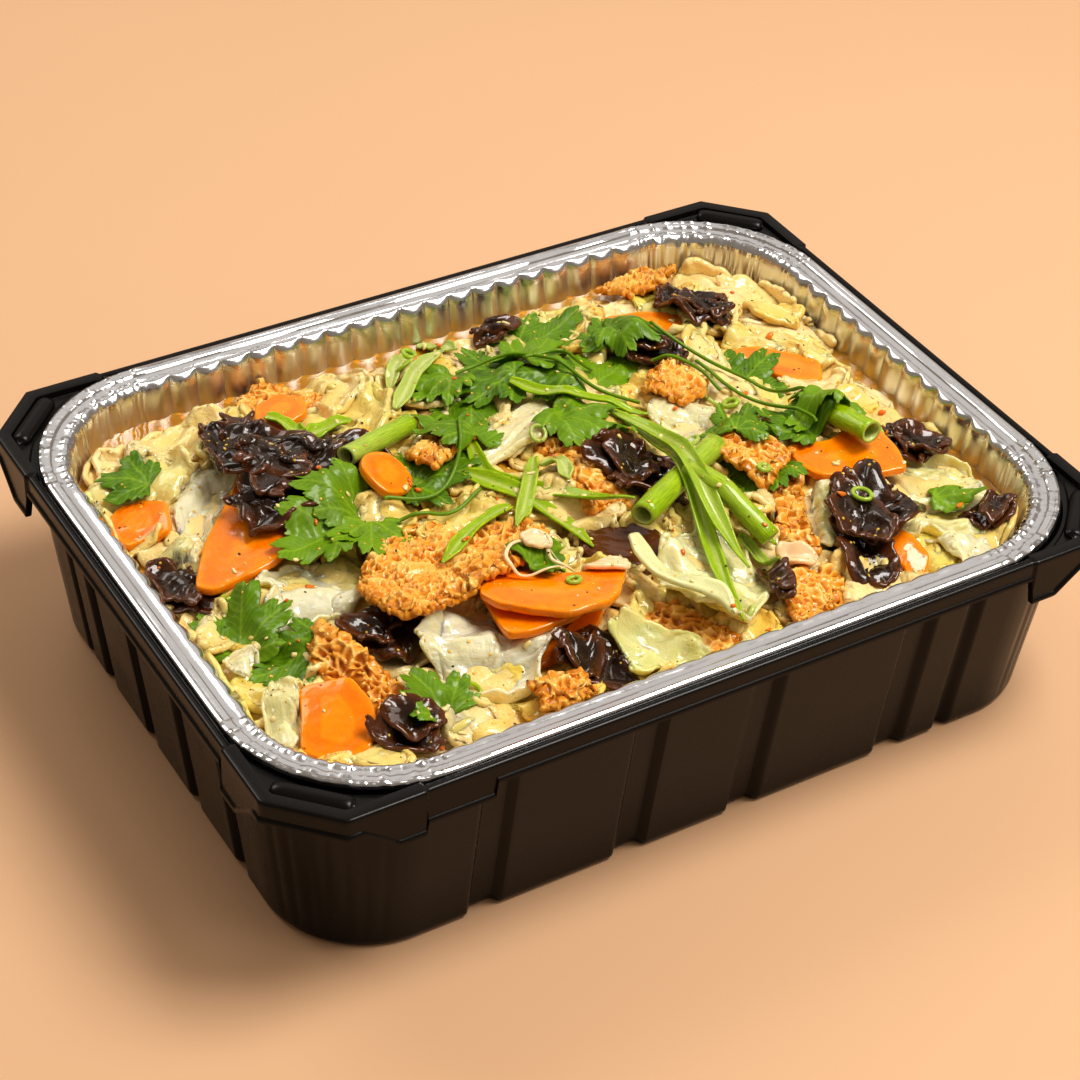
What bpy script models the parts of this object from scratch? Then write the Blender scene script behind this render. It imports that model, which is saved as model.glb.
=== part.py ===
"""Foil tray meal: a vegetable stew in a pleated foil tray that hangs in a black plastic outer tray.

The model stands on z = 0 with its origin under the middle of the outer tray. X runs along the
long side and Y along the short side. Every length below is in millimetres, and an object's mesh
is written in metres.
"""
import math

import bmesh
import bpy
import numpy as np
from mathutils import Vector, noise

MM = 0.001
CONTACT_GAP = 0.3

# Foil tray, measured at its rolled rim
FOIL_HALF_LENGTH = 158.0
FOIL_HALF_WIDTH = 118.65
FOIL_CORNER_RADIUS = 53.8
FOIL_PLEAT_PITCH = 10.5
FOIL_PLEAT_DEPTH = 1.2
FOIL_FLOOR = 11.0
FOIL_UNDERSIDE = 10.0
# Foil rim and wall profile on the food side: distance in from the rim's outer edge, height
FOIL_RIM_PROFILE = (
    (0.4, 73.6), (0.0, 74.8), (0.6, 76.3), (4.1, 76.4), (5.0, 75.5), (7.4, 75.5), (8.2, 76.1), (9.8, 75.4),
)
FOIL_WALL_TOP = (10.9, 73.0)
FOIL_WALL_FOOT = (19.4, 14.5)
FOIL_FLOOR_EDGE = (23.0, FOIL_FLOOR)
# The outside of the foil, hidden between the two trays, has no pleats
FOIL_BACK_PROFILE = ((24.0, FOIL_UNDERSIDE), (19.0, 13.0), (9.4, 71.5), (8.8, 74.4), (1.2, 74.4))

# Outer tray: the wall at its foot, and how far it leans out by its top
TRAY_HALF_LENGTH = 148.2
TRAY_HALF_WIDTH = 110.8
TRAY_CORNER_RADIUS = 36.0
TRAY_FOOT_PROFILE = ((-3.2, 0.0), (-0.9, 0.9), (0.0, 3.4))
TRAY_WALL_TOP = (7.6, 66.0)
TRAY_FLANGE_UNDERSIDE = 71.8
TRAY_INNER_TOP = (4.6, 71.6)
TRAY_INNER_FOOT = (-4.4, 5.0)
TRAY_INNER_FLOOR = (-8.0, 1.8)
TRAY_RIM_HALF_LENGTH = 161.4
TRAY_RIM_HALF_WIDTH = 121.8
TRAY_RIM_TOP = 75.7
TRAY_RIM_ROUND = 0.9
TRAY_SKIRT_THICKNESS = 1.5
TRAY_SKIRT_BOTTOM = 68.2
TRAY_RECESS_FLOOR = 73.1
TRAY_RECESS_CLEARANCE = 0.8

# Ears at the four corners: an octagon corner that stands a little proud of the side rims
EAR_PROUD = 0.9
EAR_RISE = 0.4
EAR_START_LONG = 116.0
EAR_START_SHORT = 77.0
EAR_CHAMFER_LONG = 143.0
EAR_CHAMFER_SHORT = 103.0
EAR_BORDER_WIDTH = 5.0
EAR_PLATE_TOP = 73.7
EAR_RECESS_CLEARANCE = 2.6
EAR_TAB_BOTTOM = 58.5
EAR_TAB_WIDTH = 10.0
EAR_TAB_SLANT = 12.0

# Upright grooves pressed into the outer tray's walls: place along the side, and width at the mouth
GROOVE_DEPTH = 3.0
GROOVE_SLOPE = 2.6
LONG_SIDE_GROOVES = ((-87.5, 13.5), (-32.5, 13.5), (12.5, 13.5), (73.5, 13.5), (96.5, 7.5))
SHORT_SIDE_GROOVES = ((-58.0, 9.5), (-23.0, 9.5), (12.0, 9.5), (46.0, 9.5))

# Broth and the heap of chopped cabbage that stands out of it
BROTH_LEVEL = 60.0
HEAP_HALF_LENGTH = 137.0
HEAP_HALF_WIDTH = 98.0
HEAP_EDGE_HEIGHT = 1.8
HEAP_RISE = 8.5
HEAP_LUMPS_LONG = 9
HEAP_LUMPS_SHORT = 6
HEAP_LUMP_SIZE = 14.0
HEAP_LUMP_HEIGHT = 4.6

# The tray's clear inside at the level of the food, which no piece of food may cross
FOOD_HALF_LENGTH = 143.4
FOOD_HALF_WIDTH = 104.0
FOOD_CORNER_RADIUS = 40.0

# Thickness of each kind of food, and how deep its surface relief and folds are
CARROT_THICKNESS = 3.4
CARROT_CROWN = 0.5
CURD_THICKNESS = 5.5
CURD_EDGE_THICKNESS = 3.4
CURD_CRAG_HEIGHT = 3.2
CABBAGE_THICKNESS = 1.7
CABBAGE_FOLD_SHARE = 0.06
FUNGUS_THICKNESS = 2.2
FUNGUS_RUFFLE_SHARE = 0.15
FUNGUS_CRAG_HEIGHT = 1.8
LEAF_THICKNESS = 0.7
LEAF_WAVE = 4.0
ONION_BLADE_THICKNESS = 1.0
ONION_CURL_THICKNESS = 1.8
ONION_CUP = 0.9
TUBE_PIECES = 3
TUBE_SIDES = 8

# The steepest slope at which a piece of food lies
STEEPEST_REST = 0.36

COLOURS = {
    "outer_tray": ((0.012, 0.011, 0.011), 0.32, 0.0),
    "foil_tray": ((0.80, 0.80, 0.80), 0.25, 1.0),
    "broth": ((0.55, 0.30, 0.05), 0.15, 0.0),
    "heap": ((0.78, 0.70, 0.42), 0.35, 0.0),
    "carrot": ((0.90, 0.26, 0.02), 0.30, 0.0),
    "curd": ((0.72, 0.34, 0.10), 0.40, 0.0),
    "cabbage": ((0.82, 0.78, 0.58), 0.25, 0.0),
    "fungus": ((0.035, 0.018, 0.012), 0.18, 0.0),
    "leaf": ((0.10, 0.30, 0.03), 0.40, 0.0),
    "onion": ((0.28, 0.52, 0.06), 0.30, 0.0),
    "onion_white": ((0.75, 0.78, 0.50), 0.30, 0.0),
}

# Food pieces, lowest first: name, kind, outline, place, length and width, turn in degrees, seed
PIECES = (
    ("fungus_left_small", "fungus", "lobed", (-135, 10), (32, 16), -71, 1),
    ("cabbage_left_leaf", "cabbage", "round", (-99, -19), (46, 46), -25, 2),
    ("cabbage_left_stem", "cabbage", "round", (-107, 47), (47, 26), -142, 3),
    ("carrot_left_edge", "carrot", "hexagon", (-132, 48), (24, 21), -39, 4),
    ("curd_left_back", "curd", "block", (-62, 87), (29, 22), -57, 5),
    ("cabbage_right", "cabbage", "round", (113, -65), (53, 50), -31, 7),
    ("carrot_back_right", "carrot", "blade", (115, 22), (36, 20), -43, 8),
    ("carrot_back", "carrot", "hexagon", (80, 67), (34, 22), -34, 9),
    ("fungus_back", "fungus", "lobed", (103, 67), (34, 28), -69, 10),
    ("fungus_right_back", "fungus", "lobed", (125, -42), (24, 26), -44, 12),
    ("cabbage_dome", "cabbage", "round", (56, 4), (42, 44), -55, 13),
    ("curd_centre_back", "curd", "block", (14, 9), (24, 20), -56, 14),
    ("curd_centre_front", "curd", "block", (8, -15), (26, 16), -96, 15),
    ("fungus_centre", "fungus", "lobed", (23, -18), (32, 28), -60, 16),
    ("carrot_third", "carrot", "blade", (-37, -75), (36, 18), 19, 18),
    ("fungus_cup", "fungus", "lobed", (-90, -46), (26, 22), -23, 19),
    ("cabbage_front_leaf", "cabbage", "round", (-66, -69), (50, 46), -22, 20),
    ("carrot_centre_low", "carrot", "hexagon", (-47, -61), (32, 25), -50, 21),
    ("carrot_centre_top", "carrot", "blade", (-33, -58), (52, 25), -24, 22),
    ("fungus_oval", "fungus", "round", (1, -46), (25, 18), -42, 23),
    ("fungus_front_centre", "fungus", "lobed", (-36, -89), (28, 19), -30, 24),
    ("curd_under", "curd", "block", (2, -88), (32, 13), -58, 25),
    ("cabbage_right_front", "cabbage", "round", (-14, -89), (42, 28), -30, 26),
    ("cabbage_striped", "cabbage", "round", (19, -72), (50, 46), -60, 27),
    ("carrot_left_blade", "carrot", "blade", (-106, 22), (64, 31), -133, 28),
    ("curd_front_strip", "curd", "block", (-105, -59), (44, 14), -80, 29),
    ("carrot_front", "carrot", "hexagon", (-121, -72), (33, 29), -114, 30),
    ("fungus_front_low", "fungus", "lobed", (-104, -88), (22, 16), -20, 31),
    ("curd_big", "curd", "block", (-62, -32), (68, 36), -7, 32),
    ("curd_upright", "curd", "block", (64, -57), (50, 15), -120, 33),
    ("curd_right_front", "curd", "block", (46, -90), (26, 22), -40, 34),
    ("carrot_right_big", "carrot", "blade", (95, -43), (46, 25), -32, 35),
    ("carrot_right_small", "carrot", "hexagon", (88, -90), (18, 13), -98, 36),
    ("fungus_right", "fungus", "lobed", (82, -75), (42, 35), -90, 37),
    ("cabbage_centre_stem", "cabbage", "block", (-7, 20), (44, 17), 11, 38),
    ("fungus_left_back", "fungus", "lobed", (-61, 36), (33, 27), -60, 39),
    ("fungus_left_big", "fungus", "lobed", (-86, 45), (67, 43), -86, 40),
    ("coriander_small_a", "leaf", "leaf", (-126, -18), (30, 26), 57, 41),
    ("coriander_small_b", "leaf", "leaf", (-123, -43), (26, 25), 184, 42),
    ("coriander_small_c", "leaf", "leaf", (-91, -79), (20, 22), 100, 43),
    ("coriander_back", "leaf", "leaf", (46, 79), (35, 26), 12, 44),
    ("coriander_middle_a", "leaf", "leaf", (12, 67), (36, 26), 102, 45),
    ("coriander_middle_b", "leaf", "leaf", (-6, 45), (30, 26), 240, 46),
    ("coriander_middle_c", "leaf", "leaf", (49, 41), (32, 28), 20, 47),
    ("coriander_right", "leaf", "leaf", (99, 20), (29, 26), 20, 48),
    ("coriander_mid_right", "leaf", "leaf", (60, -35), (25, 25), 200, 49),
    ("coriander_top", "leaf", "leaf", (-38, 20), (44, 30), 33, 50),
    ("coriander_big", "leaf", "leaf", (-80, 4), (48, 44), 190, 51),
)

# Spring onion, lowest first: name, kind, route over the heap, width or tube diameter
ONIONS = (
    ("onion_tube_left", "tube", ((-65, 28), (-49, 35), (-33, 42)), 8.0),
    ("onion_tube_thick", "tube", ((54, -21), (30, -34), (7, -47)), 9.0),
    ("onion_stick", "tube", ((98, -13), (101, -29), (103, -45)), 9.0),
    ("onion_curl", "curl", ((0, -53), (-1, -64), (1, -80), (7, -93), (7, -102)), 6.5),
    ("onion_blade_long", "blade", ((14, 48), (28, 33), (38, 5), (35, -21), (24, -66), (12, -101)), 6.5),
    ("onion_blade_cross", "blade", ((33, 15), (38, -6), (33, -37), (30, -60), (29, -79)), 7.5),
    ("onion_blade_upper", "blade", ((-20, 23), (-22, 8), (-17, -1), (-4, -19), (6, -43)), 6.5),
    ("onion_blade_lower", "blade", ((-29, 9), (-18, -9), (-11, -29), (-10, -44)), 8.0),
)


def clear_scene():
    for item in list(bpy.data.objects):
        bpy.data.objects.remove(item, do_unlink=True)


def make_material(name):
    colour, roughness, metallic = COLOURS[name]
    material = bpy.data.materials.new(name)
    material.use_nodes = True
    shader = material.node_tree.nodes["Principled BSDF"]
    shader.inputs["Base Color"].default_value = (*colour, 1.0)
    shader.inputs["Roughness"].default_value = roughness
    shader.inputs["Metallic"].default_value = metallic
    return material


def add_object(name, points, faces, material, sharp_angle=35.0):
    """Make one object from points in millimetres and faces that point out."""
    mesh = bpy.data.meshes.new(name)
    mesh.from_pydata([tuple(MM * float(value) for value in point) for point in points], [], faces)
    mesh.validate()
    piece = bpy.data.objects.new(name, mesh)
    bpy.context.collection.objects.link(piece)
    mesh.materials.append(material)
    mesh.shade_smooth()
    mesh.set_sharp_from_angle(angle=math.radians(sharp_angle))
    return piece


def simplify_flat_faces(piece, angle=0.4):
    """Join faces that lie in one plane, then split them into triangles."""
    shape = bmesh.new()
    shape.from_mesh(piece.data)
    bmesh.ops.dissolve_limit(
        shape, angle_limit=math.radians(angle), use_dissolve_boundaries=False,
        verts=shape.verts, edges=shape.edges, delimit=set(),
    )
    bmesh.ops.triangulate(shape, faces=shape.faces, quad_method="BEAUTY", ngon_method="BEAUTY")
    shape.to_mesh(piece.data)
    shape.free()


class TrayOutline:
    """Matching points round a rounded rectangle: places along its sides, and angles in its corners."""

    def __init__(self, half_length, half_width, radius, long_places, short_places, corner_angles):
        self.reach = (half_length - radius, half_width - radius)
        self.radius = radius
        self.stations = []
        for side in range(4):
            places = long_places if side % 2 == 0 else short_places
            span = self.reach[side % 2]
            inside = [place for place in places if abs(place) < span - 0.01]
            # The far sides mirror the near ones, so their places run the other way
            ordered = sorted(inside if side < 2 else [-place for place in inside])
            for place in [-span] + ordered + [span]:
                self.stations.append((side, place, 0.0))
            for angle in corner_angles:
                self.stations.append((side, span, angle))

    def corner_centre(self, side):
        signs = ((1, -1), (1, 1), (-1, 1), (-1, -1))[side]
        return np.array((signs[0] * self.reach[0], signs[1] * self.reach[1]))

    def normal(self, side, angle):
        turn = math.radians(side * 90.0 - 90.0 + angle)
        return np.array((math.cos(turn), math.sin(turn)))

    def foot(self, station):
        """The point that the outline is offset from: on a straight side or at a corner's centre."""
        side, place, angle = station
        if angle > 0.0:
            return self.corner_centre(side)
        along = np.array(((1, 0), (0, 1), (-1, 0), (0, -1))[side], dtype=float)
        out = self.normal(side, 0.0)
        return along * place + out * self.reach[(side + 1) % 2]

    def ring(self, offset, height):
        """Points at a distance outside the outline. Offset and height may be functions of the station."""
        points = []
        for station in self.stations:
            away = offset(station) if callable(offset) else offset
            level = height(station) if callable(height) else height
            spot = self.foot(station) + self.normal(station[0], station[2]) * (self.radius + away)
            points.append((spot[0], spot[1], level))
        return points


def loft_rings(rings):
    """Faces of a closed solid through rings of equal count, from the outer floor to the inner floor."""
    count = len(rings[0])
    points = [point for ring in rings for point in ring]
    faces = []
    for level in range(len(rings) - 1):
        lower = level * count
        upper = lower + count
        for index in range(count):
            following = (index + 1) % count
            faces.append((lower + index, lower + following, upper + following, upper + index))
    faces.append(tuple(reversed(range(count))))
    last = (len(rings) - 1) * count
    faces.append(tuple(range(last, last + count)))
    return points, faces


def groove_places(grooves):
    places = []
    for centre, width in grooves:
        half = width / 2.0
        places += [centre - half, centre - half + GROOVE_SLOPE, centre + half - GROOVE_SLOPE, centre + half]
    return places


def groove_depth(station):
    """How far the wall is pressed in at a station."""
    side, place, angle = station
    if angle > 0.0:
        return 0.0
    grooves = LONG_SIDE_GROOVES if side % 2 == 0 else SHORT_SIDE_GROOVES
    along = place if side < 2 else -place
    for centre, width in grooves:
        inset = width / 2.0 - abs(along - centre)
        if inset > 0.0:
            return GROOVE_DEPTH * min(1.0, inset / GROOVE_SLOPE)
    return 0.0


def ear_angles():
    """Corner angles of the points where an ear's outline turns, seen from the wall's arc centre."""
    centre_long = TRAY_HALF_LENGTH - TRAY_CORNER_RADIUS
    centre_short = TRAY_HALF_WIDTH - TRAY_CORNER_RADIUS
    out_long = TRAY_RIM_HALF_LENGTH + EAR_PROUD - centre_long
    out_short = TRAY_RIM_HALF_WIDTH + EAR_PROUD - centre_short
    tab = EAR_TAB_WIDTH
    slant = EAR_TAB_WIDTH + EAR_TAB_SLANT
    angles = {}
    for name, place in (
        ("start_long", EAR_START_LONG), ("tab_long", EAR_START_LONG + tab),
        ("slant_long", EAR_START_LONG + slant), ("chamfer_long", EAR_CHAMFER_LONG),
    ):
        angles[name] = math.degrees(math.atan2(place - centre_long, out_short))
    for name, place in (
        ("chamfer_short", EAR_CHAMFER_SHORT), ("slant_short", EAR_START_SHORT + slant),
        ("tab_short", EAR_START_SHORT + tab), ("start_short", EAR_START_SHORT),
    ):
        angles[name] = math.degrees(math.atan2(out_long, place - centre_short))
    return angles


EAR_ANGLES = ear_angles()
EAR_STEP = 0.3


def along_long_side(station):
    """A corner angle measured from the long side, whichever way round the corner comes."""
    return station[2] if station[0] % 2 == 0 else 90.0 - station[2]


def in_ear(station):
    angle = along_long_side(station)
    if station[2] <= 0.0:
        return False
    return EAR_ANGLES["start_long"] + EAR_STEP / 2 < angle < EAR_ANGLES["start_short"] - EAR_STEP / 2


def rim_offset(outline, station, inset):
    """Distance out to the rim's octagon outline, less an inset square to its edge."""
    side, place, angle = station
    proud = EAR_PROUD if in_ear(station) else 0.0
    half_long = TRAY_RIM_HALF_LENGTH + proud - inset
    half_short = TRAY_RIM_HALF_WIDTH + proud - inset
    if angle <= 0.0:
        reach = half_short - outline.reach[1] if side % 2 == 0 else half_long - outline.reach[0]
        return reach - outline.radius
    turn = math.radians(along_long_side(station))
    right = (half_long - outline.reach[0]) / max(math.sin(turn), 1e-6)
    front = (half_short - outline.reach[1]) / max(math.cos(turn), 1e-6)
    # The chamfer's line passes through the two points where it meets the rim's sides
    first = np.array((EAR_CHAMFER_LONG, TRAY_RIM_HALF_WIDTH + EAR_PROUD)) - outline.reach
    second = np.array((TRAY_RIM_HALF_LENGTH + EAR_PROUD, EAR_CHAMFER_SHORT)) - outline.reach
    edge = (second - first) / np.linalg.norm(second - first)
    square = np.array((-edge[1], edge[0]))
    square = square if square @ first > 0 else -square
    ray = np.array((math.sin(turn), math.cos(turn)))
    chamfer = (square @ first - inset) / (square @ ray)
    return min(right, front, chamfer) - outline.radius


def skirt_bottom(station):
    """Height of the rim skirt's lower edge, with the deep tab where each ear begins."""
    if not in_ear(station):
        return TRAY_SKIRT_BOTTOM
    angle = along_long_side(station)
    names = ("start_long", "tab_long", "slant_long", "slant_short", "tab_short", "start_short")
    levels = (EAR_TAB_BOTTOM, EAR_TAB_BOTTOM, TRAY_SKIRT_BOTTOM, TRAY_SKIRT_BOTTOM, EAR_TAB_BOTTOM, EAR_TAB_BOTTOM)
    return float(np.interp(angle, [EAR_ANGLES[name] for name in names], levels))


def recess_offset(outline, station):
    """Distance out to the edge of the recess that the foil's rim lies in."""
    inset = EAR_RECESS_CLEARANCE if in_ear(station) else TRAY_RECESS_CLEARANCE
    centre = np.array((FOIL_HALF_LENGTH - FOIL_CORNER_RADIUS, FOIL_HALF_WIDTH - FOIL_CORNER_RADIUS))
    if station[2] <= 0.0:
        reach = FOIL_HALF_WIDTH - outline.reach[1] if station[0] % 2 == 0 else FOIL_HALF_LENGTH - outline.reach[0]
        return reach + inset - outline.radius
    turn = math.radians(along_long_side(station))
    ray = np.array((math.sin(turn), math.cos(turn)))
    start = np.array(outline.reach) - centre
    radius = FOIL_CORNER_RADIUS + inset
    half = ray @ start
    return -half + math.sqrt(half * half - start @ start + radius * radius) - outline.radius


def make_outer_tray():
    angles = EAR_ANGLES
    turns = [angles["start_long"], angles["start_long"] + EAR_STEP, angles["tab_long"], angles["slant_long"]]
    turns += [angles["chamfer_long"], 45.0, angles["chamfer_short"], angles["slant_short"]]
    turns += [angles["tab_short"], angles["start_short"] - EAR_STEP, angles["start_short"]]
    corner = sorted(turns)
    outline = TrayOutline(
        TRAY_HALF_LENGTH, TRAY_HALF_WIDTH, TRAY_CORNER_RADIUS,
        groove_places(LONG_SIDE_GROOVES), groove_places(SHORT_SIDE_GROOVES), corner,
    )
    # The stations of the second and fourth corners run from the short side to the long one
    outline.stations = [
        (side, place, 90.0 - angle if side % 2 and angle > 0.0 else angle)
        for side, place, angle in outline.stations
    ]
    ordered = []
    for side in range(4):
        straight = [station for station in outline.stations if station[0] == side and station[2] == 0.0]
        curved = [station for station in outline.stations if station[0] == side and station[2] > 0.0]
        ordered += straight + sorted(curved, key=lambda station: station[2])
    outline.stations = ordered

    def pressed(offset):
        return lambda station: offset - groove_depth(station)

    def rim(inset):
        return lambda station: rim_offset(outline, station, inset)

    def top(station):
        return TRAY_RIM_TOP + (EAR_RISE if in_ear(station) else 0.0)

    def inner_strip(station):
        wide = EAR_BORDER_WIDTH if in_ear(station) else TRAY_RIM_ROUND + 1.2
        return rim_offset(outline, station, wide)

    def plate_edge(station):
        wide = EAR_BORDER_WIDTH + 0.6 if in_ear(station) else TRAY_RIM_ROUND + 1.8
        return rim_offset(outline, station, wide)

    def plate_top(station):
        return EAR_PLATE_TOP if in_ear(station) else TRAY_RIM_TOP

    def recess(station):
        return recess_offset(outline, station)

    rings = [outline.ring(*TRAY_FOOT_PROFILE[0])]
    rings += [outline.ring(pressed(offset), height) for offset, height in TRAY_FOOT_PROFILE[1:]]
    rings.append(outline.ring(pressed(TRAY_WALL_TOP[0]), TRAY_WALL_TOP[1]))
    rings.append(outline.ring(TRAY_WALL_TOP[0] + 0.8, TRAY_FLANGE_UNDERSIDE))
    rings.append(outline.ring(rim(TRAY_SKIRT_THICKNESS), TRAY_FLANGE_UNDERSIDE))
    rings.append(outline.ring(rim(TRAY_SKIRT_THICKNESS), skirt_bottom))
    rings.append(outline.ring(rim(0.0), skirt_bottom))
    rings.append(outline.ring(rim(0.0), lambda station: top(station) - TRAY_RIM_ROUND))
    rings.append(outline.ring(rim(TRAY_RIM_ROUND), top))
    rings.append(outline.ring(inner_strip, top))
    rings.append(outline.ring(plate_edge, plate_top))
    rings.append(outline.ring(recess, plate_top))
    rings.append(outline.ring(lambda station: recess(station) - 0.3, TRAY_RECESS_FLOOR))
    rings.append(outline.ring(TRAY_INNER_TOP[0] + 1.6, TRAY_RECESS_FLOOR))
    rings.append(outline.ring(*TRAY_INNER_TOP))
    rings.append(outline.ring(*TRAY_INNER_FOOT))
    rings.append(outline.ring(*TRAY_INNER_FLOOR))
    points, faces = loft_rings(rings)
    tray = add_object("outer_tray", points, faces, make_material("outer_tray"))
    simplify_flat_faces(tray)
    return tray


def pleat_offset(outline):
    """Pleats fold in and out from one station to the next, so the wall zigzags."""
    sign = {station: 1 if index % 2 else -1 for index, station in enumerate(outline.stations)}
    return lambda inset: (lambda station: -inset + sign[station] * FOIL_PLEAT_DEPTH / 2.0)


def make_foil_tray():
    half_pitch = FOIL_PLEAT_PITCH / 2.0
    reach = (FOIL_HALF_LENGTH - FOIL_CORNER_RADIUS, FOIL_HALF_WIDTH - FOIL_CORNER_RADIUS)
    arc_steps = 12
    corner = [90.0 * step / arc_steps for step in range(1, arc_steps)]
    long_count = 2 * round(reach[0] / half_pitch) + 1
    short_count = 2 * round(reach[1] / half_pitch) + 1
    long_places = [-reach[0] + 2.0 * reach[0] * step / long_count for step in range(1, long_count)]
    short_places = [-reach[1] + 2.0 * reach[1] * step / short_count for step in range(1, short_count)]
    outline = TrayOutline(
        FOIL_HALF_LENGTH, FOIL_HALF_WIDTH, FOIL_CORNER_RADIUS, long_places, short_places, corner,
    )
    pleated = pleat_offset(outline)
    rings = [outline.ring(-inset, height) for inset, height in FOIL_BACK_PROFILE]
    rings += [outline.ring(-inset, height) for inset, height in FOIL_RIM_PROFILE]
    rings.append(outline.ring(pleated(FOIL_WALL_TOP[0]), FOIL_WALL_TOP[1]))
    rings.append(outline.ring(pleated(FOIL_WALL_FOOT[0]), FOIL_WALL_FOOT[1]))
    rings.append(outline.ring(-FOIL_FLOOR_EDGE[0], FOIL_FLOOR_EDGE[1]))
    points, faces = loft_rings(rings)
    tray = add_object("foil_tray", points, faces, make_material("foil_tray"))
    simplify_flat_faces(tray)
    return tray


def make_broth():
    """Broth fills the foil tray to its level, just clear of the pleats."""
    places = [0.0]
    corner = [90.0 * step / 6 for step in range(1, 6)]
    outline = TrayOutline(FOIL_HALF_LENGTH, FOIL_HALF_WIDTH, FOIL_CORNER_RADIUS, places, places, corner)
    lean = (FOIL_WALL_FOOT[0] - FOIL_WALL_TOP[0]) / (FOIL_WALL_TOP[1] - FOIL_WALL_FOOT[1])
    clear = FOIL_PLEAT_DEPTH / 2.0 + 2.0 * CONTACT_GAP

    def wall(height):
        return -(FOIL_WALL_TOP[0] + (FOIL_WALL_TOP[1] - height) * lean + clear)

    foot = FOIL_WALL_FOOT[1]
    rings = [
        outline.ring(-FOIL_FLOOR_EDGE[0] - clear, FOIL_FLOOR + CONTACT_GAP),
        outline.ring(wall(foot) - 0.4, foot + CONTACT_GAP),
        outline.ring(wall(BROTH_LEVEL), BROTH_LEVEL),
    ]
    points, faces = loft_rings(rings)
    broth = add_object("broth", points, faces, make_material("broth"))
    simplify_flat_faces(broth)
    return broth


class Patch:
    """A piece of food seen from above: points on a plan, and the triangles and rim between them."""

    def __init__(self, points, triangles, rim):
        self.points = np.array(points, dtype=float)
        self.triangles = np.array(triangles)
        self.rim = rim

    def neighbours_mean(self, values):
        total = np.zeros(len(values))
        count = np.zeros(len(values))
        for first, second in ((0, 1), (1, 2), (2, 0)):
            a = self.triangles[:, first]
            b = self.triangles[:, second]
            np.add.at(total, a, values[b])
            np.add.at(total, b, values[a])
            np.add.at(count, a, 1.0)
            np.add.at(count, b, 1.0)
        return total / count

    def solid(self, base, thickness):
        """Points and faces of the closed solid between the base and the base plus the thickness."""
        count = len(self.points)
        under = np.column_stack((self.points, base))
        over = np.column_stack((self.points, base + thickness))
        faces = [tuple(reversed(face)) for face in self.triangles.tolist()]
        faces += [tuple(corner + count for corner in face) for face in self.triangles.tolist()]
        for index, corner in enumerate(self.rim):
            following = self.rim[(index + 1) % len(self.rim)]
            faces.append((corner, following, following + count))
            faces.append((corner, following + count, corner + count))
        return np.vstack((under, over)), faces


def polar_patch(reach, rings, spokes):
    """A patch round a middle point, whose reach at an angle of the plan is given by a function."""
    points = [(0.0, 0.0)]
    triangles = []
    for ring in range(1, rings + 1):
        for spoke in range(spokes):
            angle = 2.0 * math.pi * spoke / spokes
            radius = reach(angle, spoke) * ring / rings
            points.append((radius * math.cos(angle), radius * math.sin(angle)))
    for spoke in range(spokes):
        following = (spoke + 1) % spokes
        triangles.append((0, 1 + spoke, 1 + following))
    for ring in range(1, rings):
        inner = 1 + (ring - 1) * spokes
        outer = inner + spokes
        for spoke in range(spokes):
            following = (spoke + 1) % spokes
            triangles.append((inner + spoke, outer + spoke, outer + following))
            triangles.append((inner + spoke, outer + following, inner + following))
    first = 1 + (rings - 1) * spokes
    return Patch(points, triangles, list(range(first, first + spokes)))


def grid_patch(columns, rows, place):
    """A patch of columns by rows of cells, whose corner points come from a function of both."""
    points = [place(column / columns, row / rows) for column in range(columns + 1) for row in range(rows + 1)]
    step = rows + 1
    triangles = []
    for column in range(columns):
        for row in range(rows):
            a = column * step + row
            b = a + step
            triangles.append((a, b, b + 1))
            triangles.append((a, b + 1, a + 1))
    rim = [column * step for column in range(columns + 1)]
    rim += [columns * step + row for row in range(1, rows + 1)]
    rim += [column * step + rows for column in range(columns - 1, -1, -1)]
    rim += [row for row in range(rows - 1, 0, -1)]
    return Patch(points, triangles, rim)


def wander(seed, *place):
    """A smooth number from -1 to 1 that depends on a place and a seed."""
    spot = [float(value) for value in place] + [0.0] * (2 - len(place))
    return noise.noise(Vector((spot[0], spot[1], seed * 7.31 + 0.5)))


def lobed_reach(seed):
    def reach(angle, spoke):
        return 1.0 + 0.16 * math.cos(3 * angle + seed) + 0.12 * math.cos(5 * angle + 2 * seed)
    return reach


def round_reach(seed):
    def reach(angle, spoke):
        square = (abs(math.cos(angle)) ** 2.8 + abs(math.sin(angle)) ** 2.8) ** (-1 / 2.8)
        return square * (1.0 + 0.16 * wander(seed, 1.3 * math.cos(angle), 1.3 * math.sin(angle)))
    return reach


def hexagon_reach(seed):
    corners = 6

    def reach(angle, spoke):
        sector = 2 * math.pi / corners
        within = (angle + 0.3 * seed) % sector - sector / 2
        return 1.1 * math.cos(sector / 2) / math.cos(within)
    return reach


def blade_reach(seed):
    def reach(angle, spoke):
        power = 1.75
        return (abs(math.cos(angle)) ** power + abs(math.sin(angle)) ** power) ** (-1 / power)
    return reach


def leaf_reach(seed):
    """Three main lobes with teeth, and a narrow end at the stem."""
    def reach(angle, spoke):
        turned = (angle + math.pi) % (2 * math.pi) - math.pi
        front = 0.55 + 0.45 * math.cos(turned / 2.0) ** 2
        lobes = 0.70 + 0.30 * abs(math.cos(1.5 * turned))
        tooth = 1.06 if spoke % 2 == 0 else 0.86
        return front * lobes * tooth * 1.15
    return reach


OUTLINES = {
    "lobed": (lobed_reach, 2, 13),
    "round": (round_reach, 3, 12),
    "hexagon": (hexagon_reach, 1, 12),
    "blade": (blade_reach, 1, 14),
    "leaf": (leaf_reach, 2, 18),
}


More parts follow.
